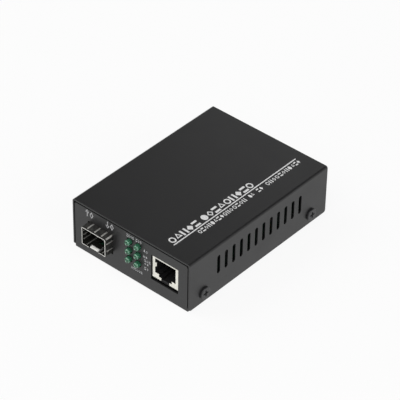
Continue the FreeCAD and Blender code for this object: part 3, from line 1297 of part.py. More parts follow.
make_inlet_housing()
make_inlet_pin()
through.append(make_inlet_spring())
through.append(make_inlet_blade("inlet_pin_terminal", "-inlet_blade_width / 2", "inlet_blade_width / 2",
                                "-inlet_depth - inlet_blade", "-inlet_depth", "inlet_axis + inlet_pin"))
through.append(make_inlet_blade("inlet_switch_terminal", "-inlet_width / 2 - inlet_blade", "-inlet_width / 2",
                                "-inlet_switch_set_back - inlet_blade_width", "-inlet_switch_set_back",
                                SOCKET_FLOOR))

make_chip("processor", "processor_size", "processor_size", "processor_height")
make_chip_leads("processor", "processor_size / 2", "processor_height", "edge_contact_width",
                "processor_lead_pitch", "processor_lead_count", four_sides=True)
make_chip("transformer", "transformer_length", "transformer_width", "transformer_height")
make_chip_leads("transformer", "transformer_width / 2", "transformer_height", "lamp_lead",
                "transformer_lead_pitch", "transformer_lead_count")
make_chip("memory", "memory_length", "memory_width", "memory_height")
make_chip_leads("memory", "memory_width / 2", "memory_height", "lamp_lead", "transformer_lead_pitch", "4")
make_chip("regulator", "regulator_length", "regulator_width", "regulator_height")
make_chip_leads("regulator", "regulator_width / 2", "regulator_height", "inlet_blade", "lamp_lead_pitch", "3")
make_chip("diode", "diode_length", "diode_width", "diode_height")
make_chip_leads("diode", "diode_width / 2", "diode_height", "inlet_blade_width", "lamp_lead_pitch", "1")
make_crystal()
through.append(make_wire_pair("crystal", "crystal_lead_pitch", "lamp_lead", lengthwise=True))
for capacitor in ("input_capacitor", "output_capacitor"):
    make_capacitor(capacitor)
    through.append(make_wire_pair(capacitor, "can_lead_pitch", "can_lead"))
make_inductor()
make_block_row("chip_resistors", "resistor_length", "resistor_width", "resistor_height",
               "lamp_x - resistor_start", from_end("resistor_setback", "-"),
               "resistor_pitch", "resistor_count")
make_block_row("chip_capacitors", "chip_capacitor_length", "chip_capacitor_width", "chip_capacitor_height",
               "processor_x - chip_capacitor_pitch * (chip_capacitor_count - 1) / 2",
               "processor_y - chip_capacitor_gap",
               "chip_capacitor_pitch", "chip_capacitor_count")
make_circuit_board(through)

doc.recompute()


# ---------------------------------------------------------------------------
# Check and write
# ---------------------------------------------------------------------------
def check(document, pieces):
    for item in document.Objects:
        if "Invalid" in item.State or "Error" in item.State:
            raise RuntimeError("%s did not compute: %s" % (item.Label, item.State))
    for piece in pieces:
        if piece.Shape.isNull() or not piece.Shape.isValid() or not piece.Shape.Solids:
            raise RuntimeError("%s has no valid solid" % piece.Label)


check(doc, nodes)
os.makedirs("parts", exist_ok=True)
for node in nodes:
    node.Shape.exportStep(os.path.join("parts", node.Label + ".step"))
    box = node.Shape.BoundBox
    print("%-28s %2d solids  %9.2f mm3  x %7.2f %7.2f  y %7.2f %7.2f  z %6.2f %6.2f" % (
        node.Label, len(node.Shape.Solids), node.Shape.Volume,
        box.XMin, box.XMax, box.YMin, box.YMax, box.ZMin, box.ZMax))
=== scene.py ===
import math

import bpy
from mathutils import Matrix, Vector


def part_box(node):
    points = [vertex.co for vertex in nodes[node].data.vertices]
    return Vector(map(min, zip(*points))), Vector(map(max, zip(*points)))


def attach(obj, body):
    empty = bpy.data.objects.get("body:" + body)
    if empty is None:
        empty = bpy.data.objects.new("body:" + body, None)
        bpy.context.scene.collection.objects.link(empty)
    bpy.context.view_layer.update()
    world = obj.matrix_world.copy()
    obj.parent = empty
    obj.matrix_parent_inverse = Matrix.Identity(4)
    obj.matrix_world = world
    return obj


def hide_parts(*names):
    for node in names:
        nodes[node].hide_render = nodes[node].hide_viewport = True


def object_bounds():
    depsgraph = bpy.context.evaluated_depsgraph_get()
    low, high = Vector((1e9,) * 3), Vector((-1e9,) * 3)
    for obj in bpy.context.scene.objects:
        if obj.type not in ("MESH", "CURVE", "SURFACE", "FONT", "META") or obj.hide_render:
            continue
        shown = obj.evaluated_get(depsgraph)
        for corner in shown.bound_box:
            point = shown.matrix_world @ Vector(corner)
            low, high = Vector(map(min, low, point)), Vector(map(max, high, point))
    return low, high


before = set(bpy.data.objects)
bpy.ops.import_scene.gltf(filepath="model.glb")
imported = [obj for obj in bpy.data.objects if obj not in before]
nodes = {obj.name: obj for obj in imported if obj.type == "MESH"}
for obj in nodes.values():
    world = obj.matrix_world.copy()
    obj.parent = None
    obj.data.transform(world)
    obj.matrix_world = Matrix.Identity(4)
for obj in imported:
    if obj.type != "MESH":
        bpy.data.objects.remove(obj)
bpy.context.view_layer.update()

bpy.ops.object.select_all(action="DESELECT")
MM = 0.001

# ---------------------------------------------------------------------------
# Base pan
# One steel sheet folded into the floor, both panels and the two side flanges.
# Its satin black powder paint has a fine orange-peel skin and soft edges.
# ---------------------------------------------------------------------------
noise_low, noise_high = 0.3, 0.7


def start_material(name, colour, roughness, metallic=0.0):
    """New material with plain settings; returns it with its node tree and its shader."""
    made = bpy.data.materials.new(name)
    made.use_nodes = True
    tree = made.node_tree
    shader = tree.nodes["Principled BSDF"]
    shader.inputs["Base Color"].default_value = (*colour, 1.0)
    shader.inputs["Roughness"].default_value = roughness
    shader.inputs["Metallic"].default_value = metallic
    return made, tree, shader


def object_noise(tree, scale, detail=2.0, stretch=(1.0, 1.0, 1.0)):
    """Noise that is fixed to the piece, with a number of cells to the metre."""
    place = tree.nodes.new("ShaderNodeTexCoord")
    mapping = tree.nodes.new("ShaderNodeMapping")
    mapping.inputs["Scale"].default_value = stretch
    noise = tree.nodes.new("ShaderNodeTexNoise")
    noise.inputs["Scale"].default_value = scale
    noise.inputs["Detail"].default_value = detail
    tree.links.new(place.outputs["Object"], mapping.inputs["Vector"])
    tree.links.new(mapping.outputs["Vector"], noise.inputs["Vector"])
    return noise.outputs["Fac"]


def spread_between(tree, value, target, low, high):
    """Drive a shader's socket from a noise value, from low to high."""
    span = tree.nodes.new("ShaderNodeMapRange")
    span.inputs["From Min"].default_value = noise_low
    span.inputs["From Max"].default_value = noise_high
    span.inputs["To Min"].default_value = low
    span.inputs["To Max"].default_value = high
    tree.links.new(value, span.inputs["Value"])
    tree.links.new(span.outputs["Result"], target)


def raise_grain(tree, value, shader, depth):
    """Fine relief of a surface, with its depth in metres."""
    bump = tree.nodes.new("ShaderNodeBump")
    bump.inputs["Strength"].default_value = 1.0
    bump.inputs["Distance"].default_value = depth
    tree.links.new(value, bump.inputs["Height"])
    tree.links.new(bump.outputs["Normal"], shader.inputs["Normal"])


def pick(piece):
    """Select one object alone and make it the active one."""
    bpy.ops.object.select_all(action="DESELECT")
    piece.select_set(True)
    bpy.context.view_layer.objects.active = piece


sharp_edge = math.radians(40.0)
smooth_edge = math.radians(50.0)
flat_joint = math.radians(0.5)
weld_distance = 0.002 * MM


def round_over(piece, width, segments):
    """Ease the sharp edges of a piece by a small width."""
    pick(piece)
    easing = piece.modifiers.new("eased_edges", "BEVEL")
    easing.width = width
    easing.segments = segments
    easing.limit_method = "ANGLE"
    easing.angle_limit = sharp_edge
    bpy.ops.object.modifier_apply(modifier=easing.name)
    bpy.ops.object.shade_smooth_by_angle(angle=smooth_edge)
    flattening = piece.modifiers.new("flat_faces", "WEIGHTED_NORMAL")
    flattening.weight = 100
    flattening.keep_sharp = True
    bpy.ops.object.modifier_apply(modifier=flattening.name)


def copy_merged(name):
    """Copy of a CAD piece with its loose triangles joined up, which then stands for that piece."""
    piece = nodes[name].copy()
    piece.data = nodes[name].data.copy()
    piece.name = name + "_finished"
    bpy.context.collection.objects.link(piece)
    pick(piece)
    bpy.ops.object.mode_set(mode="EDIT")
    bpy.ops.mesh.select_all(action="SELECT")
    bpy.ops.mesh.remove_doubles(threshold=weld_distance)
    bpy.ops.mesh.dissolve_limited(angle_limit=flat_joint)
    bpy.ops.object.mode_set(mode="OBJECT")
    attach(piece, "root")
    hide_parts(name)
    return piece


def ease_edges(name, width, material):
    """Finished copy of a CAD piece whose sharp edges are eased by a small width."""
    piece = copy_merged(name)
    round_over(piece, width, 2)
    piece.data.materials.clear()
    piece.data.materials.append(material)
    return piece


case_paint, tree, shader = start_material("case_paint", (0.010, 0.010, 0.0105), 0.42)
spread_between(tree, object_noise(tree, 60.0), shader.inputs["Roughness"], 0.40, 0.46)
raise_grain(tree, object_noise(tree, 1500.0, 3.0), shader, 0.01 * MM)
pan = ease_edges("base_pan", 0.12 * MM, case_paint)

# ---------------------------------------------------------------------------
# Board standoffs and their screws
# Zinc-plated turned standoffs are pressed into the floor from below, and four
# cross-recessed screws hold the board on them.
# ---------------------------------------------------------------------------
tint_low, tint_high = 0.35, 0.65


def tint_between(tree, value, target, dark, light):
    """Drive a colour socket from a noise value, from a darker to a lighter tone."""
    ramp = tree.nodes.new("ShaderNodeValToRGB")
    first, last = ramp.color_ramp.elements
    first.position, first.color = tint_low, (*dark, 1.0)
    last.position, last.color = tint_high, (*light, 1.0)
    tree.links.new(value, ramp.inputs["Fac"])
    tree.links.new(ramp.outputs["Color"], target)


def give(material, *names):
    """Put a material on the CAD pieces with these names."""
    for name in names:
        mesh = nodes[name].data
        mesh.materials.clear()
        mesh.materials.append(material)


zinc, tree, shader = start_material("zinc_plate", (0.62, 0.63, 0.64), 0.34, 1.0)
tint_between(tree, object_noise(tree, 400.0, 4.0), shader.inputs["Base Color"],
             (0.50, 0.51, 0.52), (0.68, 0.68, 0.67))
raise_grain(tree, object_noise(tree, 3000.0), shader, 0.01 * MM)
give(zinc, "board_standoffs", "board_screws")

# ---------------------------------------------------------------------------
# Circuit board
# Glass-fibre laminate under a very dark green solder mask, with a pattern of
# copper tracks that shows through the mask as a slightly lighter green.
# ---------------------------------------------------------------------------
laminate, tree, shader = start_material("board_laminate", (0.004, 0.026, 0.013), 0.34)
tint_between(tree, object_noise(tree, 250.0, 0.0, (1.0, 0.12, 1.0)), shader.inputs["Base Color"],
             (0.003, 0.020, 0.010), (0.006, 0.036, 0.018))
raise_grain(tree, object_noise(tree, 900.0), shader, 0.02 * MM)
give(laminate, "circuit_board")

# ---------------------------------------------------------------------------
# Fibre bay: cage, spring collar, host connector and contacts
# The cage is folded from thin nickel-plated sheet. A collar with sprung fingers grips its mouth,
# its steel coloured dark as a painted reflection of the dark surroundings, and the host connector
# sits deep inside.
# ---------------------------------------------------------------------------
def add_block(place, size):
    """Plain block with its middle at a place, as the start of a piece."""
    bpy.ops.object.select_all(action="DESELECT")
    bpy.ops.mesh.primitive_cube_add(size=1.0)
    block = bpy.context.object
    block.data.transform(Matrix.Translation(place) @ Matrix.Diagonal((*size, 1.0)))
    return block


def join(pieces, name):
    """Join several objects into one with a new name."""
    pick(pieces[0])
    for piece in pieces[1:]:
        piece.select_set(True)
    bpy.ops.object.join()
    joined = bpy.context.object
    joined.name = name
    joined.data.name = name
    return joined


cage_nickel, tree, shader = start_material("cage_nickel", (0.82, 0.81, 0.77), 0.42, 0.5)
drawn_streaks = object_noise(tree, 300.0, 3.0, (1.0, 0.1, 1.0))
spread_between(tree, drawn_streaks, shader.inputs["Roughness"], 0.36, 0.48)
tint_between(tree, object_noise(tree, 120.0, 3.0), shader.inputs["Base Color"],
             (0.78, 0.77, 0.73), (0.86, 0.85, 0.81))
# A darker copy of the nickel: painted shade for the cage's inner walls.
painted_shade_nickel, tree, shader = start_material("painted_shade_nickel", (0.065, 0.064, 0.058), 0.36, 0.8)
tint_between(tree, object_noise(tree, 500.0, 3.0), shader.inputs["Base Color"],
             (0.045, 0.044, 0.040), (0.085, 0.083, 0.075))
cage = ease_edges("fibre_cage", 0.05 * MM, cage_nickel)

# Painted shade darkens the inner side of the walls, and a painted highlight makes the latch tongue
# near white; the mouth's rim keeps the cage's own bright nickel.
cage_low, cage_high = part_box("fibre_cage")
cage_sheet = 0.3 * MM
cage_width = cage_high.x - cage_low.x
cage_height = 9.6 * MM
cage_middle = Vector(((cage_low.x + cage_high.x) / 2, 0.0, cage_high.z - cage_height / 2))
skin = 0.02 * MM
rim_depth = 0.15 * MM
tongue_reach = 2.4 * MM
tongue_half_width = 2.5 * MM
# A near-white copy of the nickel: a painted highlight on the latch tongue.
tongue_highlight_nickel, tree, shader = start_material("tongue_highlight_nickel", (0.95, 0.94, 0.90), 0.45, 0.15)
spread_between(tree, object_noise(tree, 300.0, 3.0), shader.inputs["Roughness"], 0.40, 0.50)
cage.data.materials.append(painted_shade_nickel)
cage.data.materials.append(tongue_highlight_nickel)
for face in cage.data.polygons:
    across, _, upward = face.center - cage_middle
    behind = face.center.y - cage_low.y
    inside = abs(across) < cage_width / 2 - skin and abs(upward) < cage_height / 2 - skin
    inward = face.normal.x * across < 0.0 or face.normal.z * upward < 0.0
    on_tongue = behind < tongue_reach and abs(across) < tongue_half_width and upward < 0.0
    if inside and inward and on_tongue:
        face.material_index = 2
    elif inside and inward and behind > rim_depth:
        face.material_index = 1

# The collar's dark colour is a painted reflection of the dark panel and surroundings, not the
# steel's own tone.
collar_painted_dark, tree, shader = start_material("collar_painted_dark", (0.10, 0.10, 0.095), 0.38, 0.9)
tint_between(tree, object_noise(tree, 500.0, 3.0), shader.inputs["Base Color"],
             (0.07, 0.07, 0.066), (0.13, 0.13, 0.122))
collar = ease_edges("fibre_spring_collar", 0.04 * MM, collar_painted_dark)

# Pressed guide ribs along the walls and the floor of the cage steer the module to the connector.
rib_high = 0.22 * MM
rib_wide = 0.45 * MM
rib_length = 26.0 * MM
rib_setback = 0.8 * MM
wall_rib_pitch = 2.4 * MM
floor_rib_offset = 4.6 * MM
rib_middle = cage_low.y + rib_setback + rib_length / 2
rib_ground = cage_middle.z - cage_height / 2 + cage_sheet + rib_high / 2
ribs = []
for side in (-1.0, 1.0):
    wall = cage_middle.x + side * (cage_width / 2 - cage_sheet - rib_high / 2)
    for row in (-1.0, 0.0, 1.0):
        ribs.append(add_block(Vector((wall, rib_middle, cage_middle.z + row * wall_rib_pitch)),
                              (rib_high, rib_length, rib_wide)))
    ribs.append(add_block(Vector((cage_middle.x + side * floor_rib_offset, rib_middle, rib_ground)),
                          (rib_wide, rib_length, rib_high)))
cage_ribs = join(ribs, "cage_guide_ribs")
round_over(cage_ribs, 0.09 * MM, 2)
# The ribs get a darker copy of the cage's nickel, painted shade for the inside of the cage, though
# lighter than the painted-shade walls.
shaded_rib_nickel, tree, shader = start_material("shaded_rib_nickel", (0.45, 0.45, 0.42), 0.42, 0.5)
spread_between(tree, object_noise(tree, 300.0, 3.0), shader.inputs["Roughness"], 0.36, 0.48)
cage_ribs.data.materials.append(shaded_rib_nickel)
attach(cage_ribs, "root")

black_nylon, tree, shader = start_material("black_nylon", (0.012, 0.012, 0.013), 0.48)
raise_grain(tree, object_noise(tree, 2500.0, 3.0), shader, 0.01 * MM)
give(black_nylon, "fibre_host_connector", "jack_housing", "inlet_housing")

gold, tree, shader = start_material("gold_contact", (0.82, 0.56, 0.22), 0.24, 1.0)
tint_between(tree, object_noise(tree, 900.0), shader.inputs["Base Color"],
             (0.72, 0.48, 0.17), (0.88, 0.63, 0.28))
give(gold, "fibre_host_contacts", "jack_contacts")

# ---------------------------------------------------------------------------
# Network jack
# A folded shield of pale nickel-plated sheet round a black moulded housing,
# with eight gold-plated wires sloping down from its roof.
# ---------------------------------------------------------------------------
shield_nickel, tree, shader = start_material("shield_nickel", (0.84, 0.83, 0.75), 0.42, 0.45)
tint_between(tree, object_noise(tree, 200.0, 3.0), shader.inputs["Base Color"],
             (0.80, 0.79, 0.70), (0.88, 0.87, 0.80))
shield = copy_merged("jack_shield")

# The two side springs are folded a little tighter and lower than the plain solid shows them.
shield_low, shield_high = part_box("jack_shield")
shield_middle = (shield_low.x + shield_high.x) / 2
cavity_half = 6.05 * MM
cavity_play = 0.01 * MM
spring_middle = shield_low.z + 10.6 * MM
spring_half_height = 1.15 * MM
spring_depth = 1.5 * MM
spring_share = 0.6
spring_drop = 0.6 * MM
for vertex in shield.data.vertices:
    offset = vertex.co.x - shield_middle
    reach = cavity_half - abs(offset)
    behind = vertex.co.y - shield_low.y
    at_spring = abs(vertex.co.z - spring_middle) < spring_half_height
    if at_spring and behind < spring_depth and reach > -cavity_play:
        vertex.co.x = shield_middle + math.copysign(cavity_half - reach * spring_share, offset)
        vertex.co.y = shield_low.y + behind * spring_share
        vertex.co.z -= spring_drop
round_over(shield, 0.06 * MM, 2)
shield.data.materials.clear()
shield.data.materials.append(shield_nickel)

# A black sheet lies between the jack and the board and closes the latch's slot from below, painted
# shade that makes the jack's floor and the board's front edge read black. Its front end is folded
# down over the board's front edge.
facing_down = -0.9


def edit_faces(piece, wanted):
    """Go into edit mode with only those faces of a piece selected that pass a test."""
    bpy.ops.object.mode_set(mode="EDIT")
    bpy.ops.mesh.select_all(action="DESELECT")
    bpy.ops.object.mode_set(mode="OBJECT")
    for face in piece.data.polygons:
        face.select = wanted(face)
    bpy.ops.object.mode_set(mode="EDIT")


film_thickness = 0.1 * MM
film_side_gap = 0.6 * MM
film_rear_gap = 1.0 * MM
board_low, board_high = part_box("circuit_board")
film_low = Vector((shield_low.x + film_side_gap, board_low.y - film_thickness, board_high.z))
film_high = Vector((shield_high.x - film_side_gap, shield_high.y - film_rear_gap,
                    board_high.z + film_thickness))
shade_film = add_block((film_low + film_high) / 2, film_high - film_low)
shade_film.name = "jack_shade_film"
bpy.ops.object.mode_set(mode="EDIT")
bpy.ops.mesh.select_all(action="SELECT")
bpy.ops.mesh.bisect(plane_co=(0.0, board_low.y, 0.0), plane_no=(0.0, 1.0, 0.0))
bpy.ops.object.mode_set(mode="OBJECT")
edit_faces(shade_film, lambda face: face.normal.z < facing_down and face.center.y < board_low.y)
fold_down = (0.0, 0.0, board_low.z - board_high.z)
bpy.ops.mesh.extrude_region_move(TRANSFORM_OT_translate={"value": fold_down})
bpy.ops.object.mode_set(mode="OBJECT")
round_over(shade_film, 0.03 * MM, 1)
shade_film.data.materials.append(black_nylon)
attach(shade_film, "root")

# ---------------------------------------------------------------------------
# Indicator lamps
# Six lamps, cast in clear green resin with a round dome over a stamped frame.
# Their two leads are bent down to the board, which carries them.
# ---------------------------------------------------------------------------
lamp_resin, tree, shader = start_material("lamp_resin", (0.02, 0.30, 0.14), 0.10)
shader.inputs["Transmission Weight"].default_value = 0.60
shader.inputs["IOR"].default_value = 1.52
shader.inputs["Coat Weight"].default_value = 0.4
shader.inputs["Coat Roughness"].default_value = 0.10
shoulder = tree.nodes.new("ShaderNodeAttribute")
shoulder.attribute_name = "lens_radius"
# Base colour by distance from the lamp's axis: a painted highlight at the tip, painted shade in the
# dark ring, and a painted rim highlight at the shoulder.
lens_glint_ramp = tree.nodes.new("ShaderNodeValToRGB")
dome_tip, side_wall = lens_glint_ramp.color_ramp.elements
dome_tip.position, dome_tip.color = 0.10, (0.42, 0.88, 0.62, 1.0)
side_wall.position, side_wall.color = 0.99, (0.065, 0.32, 0.17, 1.0)
for share, colour in ((0.30, (0.012, 0.17, 0.07, 1.0)), (0.66, (0.008, 0.15, 0.06, 1.0)),
                      (0.86, (0.31, 0.74, 0.49, 1.0))):
    lens_glint_ramp.color_ramp.elements.new(share).color = colour
tree.links.new(shoulder.outputs["Fac"], lens_glint_ramp.inputs["Fac"])
tree.links.new(lens_glint_ramp.outputs["Color"], shader.inputs["Base Color"])
lamp_names = ["%s_%s" % (side, row)
              for side in ("left", "right") for row in ("low", "mid", "top")]
give(lamp_resin, *["lamp_" + name for name in lamp_names])

# The dome's tip and its shoulder are painted pale as highlights, with a painted dark ring of shade
# between them, so each point carries its share of the lens's radius.
lens_radius = 1.5 * MM
for name in lamp_names:
    lens_low, lens_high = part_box("lamp_" + name)
    middle = (lens_low + lens_high) / 2
    lens = nodes["lamp_" + name].data
    shares = lens.attributes.new("lens_radius", "FLOAT", "POINT")
    for vertex, share in zip(lens.vertices, shares.data):
        share.value = math.hypot(vertex.co.x - middle.x, vertex.co.z - middle.z) / lens_radius

tin, tree, shader = start_material("tinned_lead", (0.72, 0.72, 0.71), 0.30, 1.0)
tint_between(tree, object_noise(tree, 700.0, 3.0), shader.inputs["Base Color"],
             (0.60, 0.60, 0.60), (0.78, 0.78, 0.77))
give(tin, *["lamp_leads_" + name for name in lamp_names])

# Inside each lens stand the frame's two posts; the wide one ends in a bright cup for the chip.
posts = ((0.0, 0.7 * MM, 1.9 * MM), (0.85 * MM, 0.4 * MM, 2.4 * MM))
post_thickness = 0.5 * MM
cup_mouth, cup_foot, cup_depth = 0.62 * MM, 0.40 * MM, 0.7 * MM
cup_wall = 0.12 * MM
cup_hollow = 0.45 * MM
cup_setback = 1.6 * MM
turned_to_front = Matrix.Rotation(math.radians(-90.0), 4, "X")
for name in lamp_names:
    lens_low, lens_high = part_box("lamp_" + name)
    middle = (lens_low + lens_high) / 2
    frame_pieces = []
    for offset, width, setback in posts:
        length = lens_high.y - lens_low.y - setback
        place = Vector((middle.x + offset, lens_high.y - length / 2, middle.z))
        frame_pieces.append(add_block(place, (width, length, post_thickness)))
    bpy.ops.mesh.primitive_cone_add(vertices=20, radius1=cup_mouth, radius2=cup_foot,
                                    depth=cup_depth)
    cup = bpy.context.object
    edit_faces(cup, lambda face: face.normal.z < facing_down)
    bpy.ops.mesh.inset(thickness=cup_wall)
    bpy.ops.transform.translate(value=(0.0, 0.0, cup_hollow))
    bpy.ops.object.mode_set(mode="OBJECT")
    place = Vector((middle.x, lens_low.y + cup_setback, middle.z))
    cup.data.transform(Matrix.Translation(place) @ turned_to_front)
    frame_pieces.append(cup)
    lamp_frame = join(frame_pieces, "lamp_frame_" + name)
    lamp_frame.data.materials.clear()
    lamp_frame.data.materials.append(tin)
    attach(lamp_frame, "root")

# ---------------------------------------------------------------------------
# Power inlet
# A black moulded socket behind the rear panel, with a turned centre pin, a
# sprung sleeve contact and two stamped terminals soldered to the board.
# ---------------------------------------------------------------------------
give(tin, "inlet_centre_pin", "inlet_sleeve_spring", "inlet_pin_terminal",
     "inlet_switch_terminal")

# ---------------------------------------------------------------------------
# Chips and other parts on the board
# Moulded epoxy packages with tinned leads, sleeved cans, a plated crystal can,
# a ferrite core with its copper winding, and two rows of small ceramic chips.
# ---------------------------------------------------------------------------
epoxy, tree, shader = start_material("chip_epoxy", (0.022, 0.022, 0.024), 0.55)
raise_grain(tree, object_noise(tree, 4000.0, 4.0), shader, 0.015 * MM)
give(epoxy, "processor", "transformer", "memory", "regulator", "diode")
give(tin, *[name for name in nodes if name.endswith("_leads")])
give(zinc, "crystal_can")

sleeve, tree, shader = start_material("capacitor_sleeve", (0.02, 0.028, 0.05), 0.28)
spread_between(tree, object_noise(tree, 200.0), shader.inputs["Roughness"], 0.22, 0.34)
give(sleeve, "input_capacitor", "output_capacitor")

ferrite, tree, shader = start_material("ferrite", (0.05, 0.05, 0.055), 0.6)
raise_grain(tree, object_noise(tree, 2500.0, 4.0), shader, 0.03 * MM)
give(ferrite, "inductor_core")

copper, tree, shader = start_material("enamelled_copper", (0.62, 0.27, 0.12), 0.25, 1.0)
raise_grain(tree, object_noise(tree, 60.0, 0.0, (1.0, 1.0, 40.0)), shader, 0.1 * MM)
give(copper, "inductor_winding")

chip_ceramic, tree, shader = start_material("chip_ceramic", (0.42, 0.31, 0.20), 0.45)
tint_between(tree, object_noise(tree, 1500.0), shader.inputs["Base Color"],
             (0.36, 0.26, 0.16), (0.48, 0.36, 0.24))
give(chip_ceramic, "chip_capacitors", "chip_resistors")

# ---------------------------------------------------------------------------
# Top cover and its screws
# A folded roof with two slotted sides in the same paint as the pan, held by
# two black screws on each side.
# ---------------------------------------------------------------------------
cover = ease_edges("top_cover", 0.15 * MM, case_paint)
black_oxide, tree, shader = start_material("black_oxide", (0.03, 0.03, 0.032), 0.34, 0.3)
spread_between(tree, object_noise(tree, 900.0, 3.0), shader.inputs["Roughness"], 0.28, 0.42)
screws = ease_edges("cover_screws", 0.05 * MM, black_oxide)

# ---------------------------------------------------------------------------
# Dark strips under the roof
# A strip of black, foam-like material under the roof behind each panel's top edge is painted shade:
# a dark thing put in the gap so that no light shows through it.
# ---------------------------------------------------------------------------
gap_shade_black, tree, shader = start_material("black_gap_shade", (0.006, 0.006, 0.006), 0.95)
raise_grain(tree, object_noise(tree, 2500.0, 3.0), shader, 0.08 * MM)
pan_low, pan_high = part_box("base_pan")
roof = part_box("top_cover")[1].z
sheet = 0.8 * MM
strip_size = Vector((64.0, 2.0, 1.7)) * MM
strip_gap = 0.15 * MM
strip_height = roof - sheet - strip_size.z / 2
strips = []
for panel, inward in ((pan_low.y, 1.0), (pan_high.y, -1.0)):
    strip_middle = panel + inward * (sheet + strip_gap + strip_size.y / 2)
    strips.append(add_block(Vector((0.0, strip_middle, strip_height)), strip_size))
gap_shade_strips = join(strips, "roof_gap_shade_strips")
round_over(gap_shade_strips, 0.3 * MM, 2)
gap_shade_strips.data.materials.append(gap_shade_black)
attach(gap_shade_strips, "root")

# ---------------------------------------------------------------------------
# Printing on the roof and the front panel
# Screen-printed ink: a rule with a bold and a fine row of plain marks along the
# roof's right side, and small grey marks beside the bay and the lamps.
# ---------------------------------------------------------------------------
ink_thickness = 0.02 * MM
open_middles = {"diamond": 0.15, "wedge": 0.14, "ring": 0.19}
bar_share = 0.30


def unit_mark(kind):
    """Flat mark one unit wide and one high, modelled once and copied wherever it is printed."""
    bpy.ops.object.select_all(action="DESELECT")
    if kind in ("wedge", "dart"):
        bpy.ops.mesh.primitive_circle_add(vertices=3, radius=0.58, fill_type="NGON")
    elif kind in ("diamond", "gem"):
        bpy.ops.mesh.primitive_circle_add(vertices=4, radius=0.5, fill_type="NGON")
    elif kind in ("dot", "ring"):
        bpy.ops.mesh.primitive_circle_add(vertices=20, radius=0.5, fill_type="NGON")
    else:
        bpy.ops.mesh.primitive_plane_add(size=1.0)
    mark = bpy.context.object
    bpy.ops.object.mode_set(mode="EDIT")
    if kind in open_middles:
        bpy.ops.mesh.inset(thickness=open_middles[kind])
        bpy.ops.mesh.delete(type="FACE")
    bpy.ops.object.mode_set(mode="OBJECT")
    if kind in ("pillars", "stack"):
        upright = kind == "pillars"
        bar_size = (bar_share, 1.0, 1.0, 1.0) if upright else (1.0, bar_share, 1.0, 1.0)
        shift = (1.0 - bar_share) / 2
        bar_shift = Vector((shift, 0.0, 0.0) if upright else (0.0, shift, 0.0))
        mark.data.transform(Matrix.Translation(-bar_shift) @ Matrix.Diagonal(bar_size))
        pair = mark.modifiers.new("pair", "ARRAY")
        pair.use_relative_offset = False
        pair.use_constant_offset = True
        pair.constant_offset_displace = bar_shift * 2.0
        bpy.ops.object.modifier_apply(modifier=pair.name)
    mark.name = "mark_" + kind
    return mark


unit_marks = {kind: unit_mark(kind) for kind in ("block", "wedge", "dart", "diamond", "gem",
                                                 "dot", "ring", "pillars", "stack")}


def printed(name, marks, surface, ink):
    """Lay marks (kind, along, up, width, height, in millimetres) on a surface as one ink layer."""
    copies = []
    for kind, along, up, width, height in marks:
        copy = unit_marks[kind].copy()
        copy.data = unit_marks[kind].data.copy()
        bpy.context.collection.objects.link(copy)
        copy.data.transform(Matrix.Translation((along * MM, up * MM, 0.0))
                            @ Matrix.Diagonal((width * MM, height * MM, 1.0, 1.0)))
        copies.append(copy)
    layer = join(copies, name)
    thickness = layer.modifiers.new("ink", "SOLIDIFY")
    thickness.thickness = ink_thickness
    thickness.offset = 1.0
    bpy.ops.object.modifier_apply(modifier=thickness.name)
    layer.data.transform(surface)
    layer.data.materials.append(ink)
    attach(layer, "root")


def row_of(kinds, start, end, middle, height, fill):
    """A row of marks spread evenly between two places; each fills a share of its step."""
    step = (end - start) / len(kinds)
    return [(kind, start + step * (index + 0.5), middle, step * fill, height)
            for index, kind in enumerate(kinds)]


white_ink, tree, shader = start_material("white_ink", (0.80, 0.80, 0.80), 0.55)
tint_between(tree, object_noise(tree, 1200.0), shader.inputs["Base Color"],
             (0.74, 0.74, 0.74), (0.84, 0.84, 0.84))
grey_ink, tree, shader = start_material("grey_ink", (0.46, 0.46, 0.47), 0.55)
tint_between(tree, object_noise(tree, 1200.0), shader.inputs["Base Color"],
             (0.41, 0.41, 0.42), (0.52, 0.52, 0.53))

# The roof's rows read along +Y, with their upper side towards the left.
roof_surface = Matrix(((0.0, -1.0, 0.0, 0.0), (1.0, 0.0, 0.0, 0.0), (0.0, 0.0, 1.0, roof),
                       (0.0, 0.0, 0.0, 1.0)))
rule = ("block", 0.1, -20.5, 83.8, 0.6)
bold_middle, bold_height, bold_fill = -17.75, 3.8, 0.86
fine_middle, fine_height, fine_fill = -22.85, 2.4, 0.76
roof_marks = [rule]
roof_marks += row_of(["ring", "wedge", "pillars", "gem", "stack"],
                     -41.4, -22.1, bold_middle, bold_height, bold_fill)
roof_marks += row_of(["dot", "diamond", "stack", "wedge", "ring", "pillars", "gem", "stack",
                      "ring"], -20.2, 14.5, bold_middle, bold_height, bold_fill)
fine_kinds = ["ring", "stack", "diamond", "pillars", "dot", "wedge", "stack", "gem", "ring",
              "pillars", "diamond"]
for count, start, end in ((11, -28.1, -5.0), (4, -4.9, 4.1), (2, 6.1, 9.6), (2, 11.7, 15.7),
                          (4, 18.1, 27.0), (4, 27.2, 36.0), (3, 36.2, 42.0)):
    roof_marks += row_of(fine_kinds[:count], start, end, fine_middle, fine_height, fine_fill)
    fine_kinds = fine_kinds[count:] + fine_kinds[:count]
printed("roof_printing", roof_marks, roof_surface, white_ink)

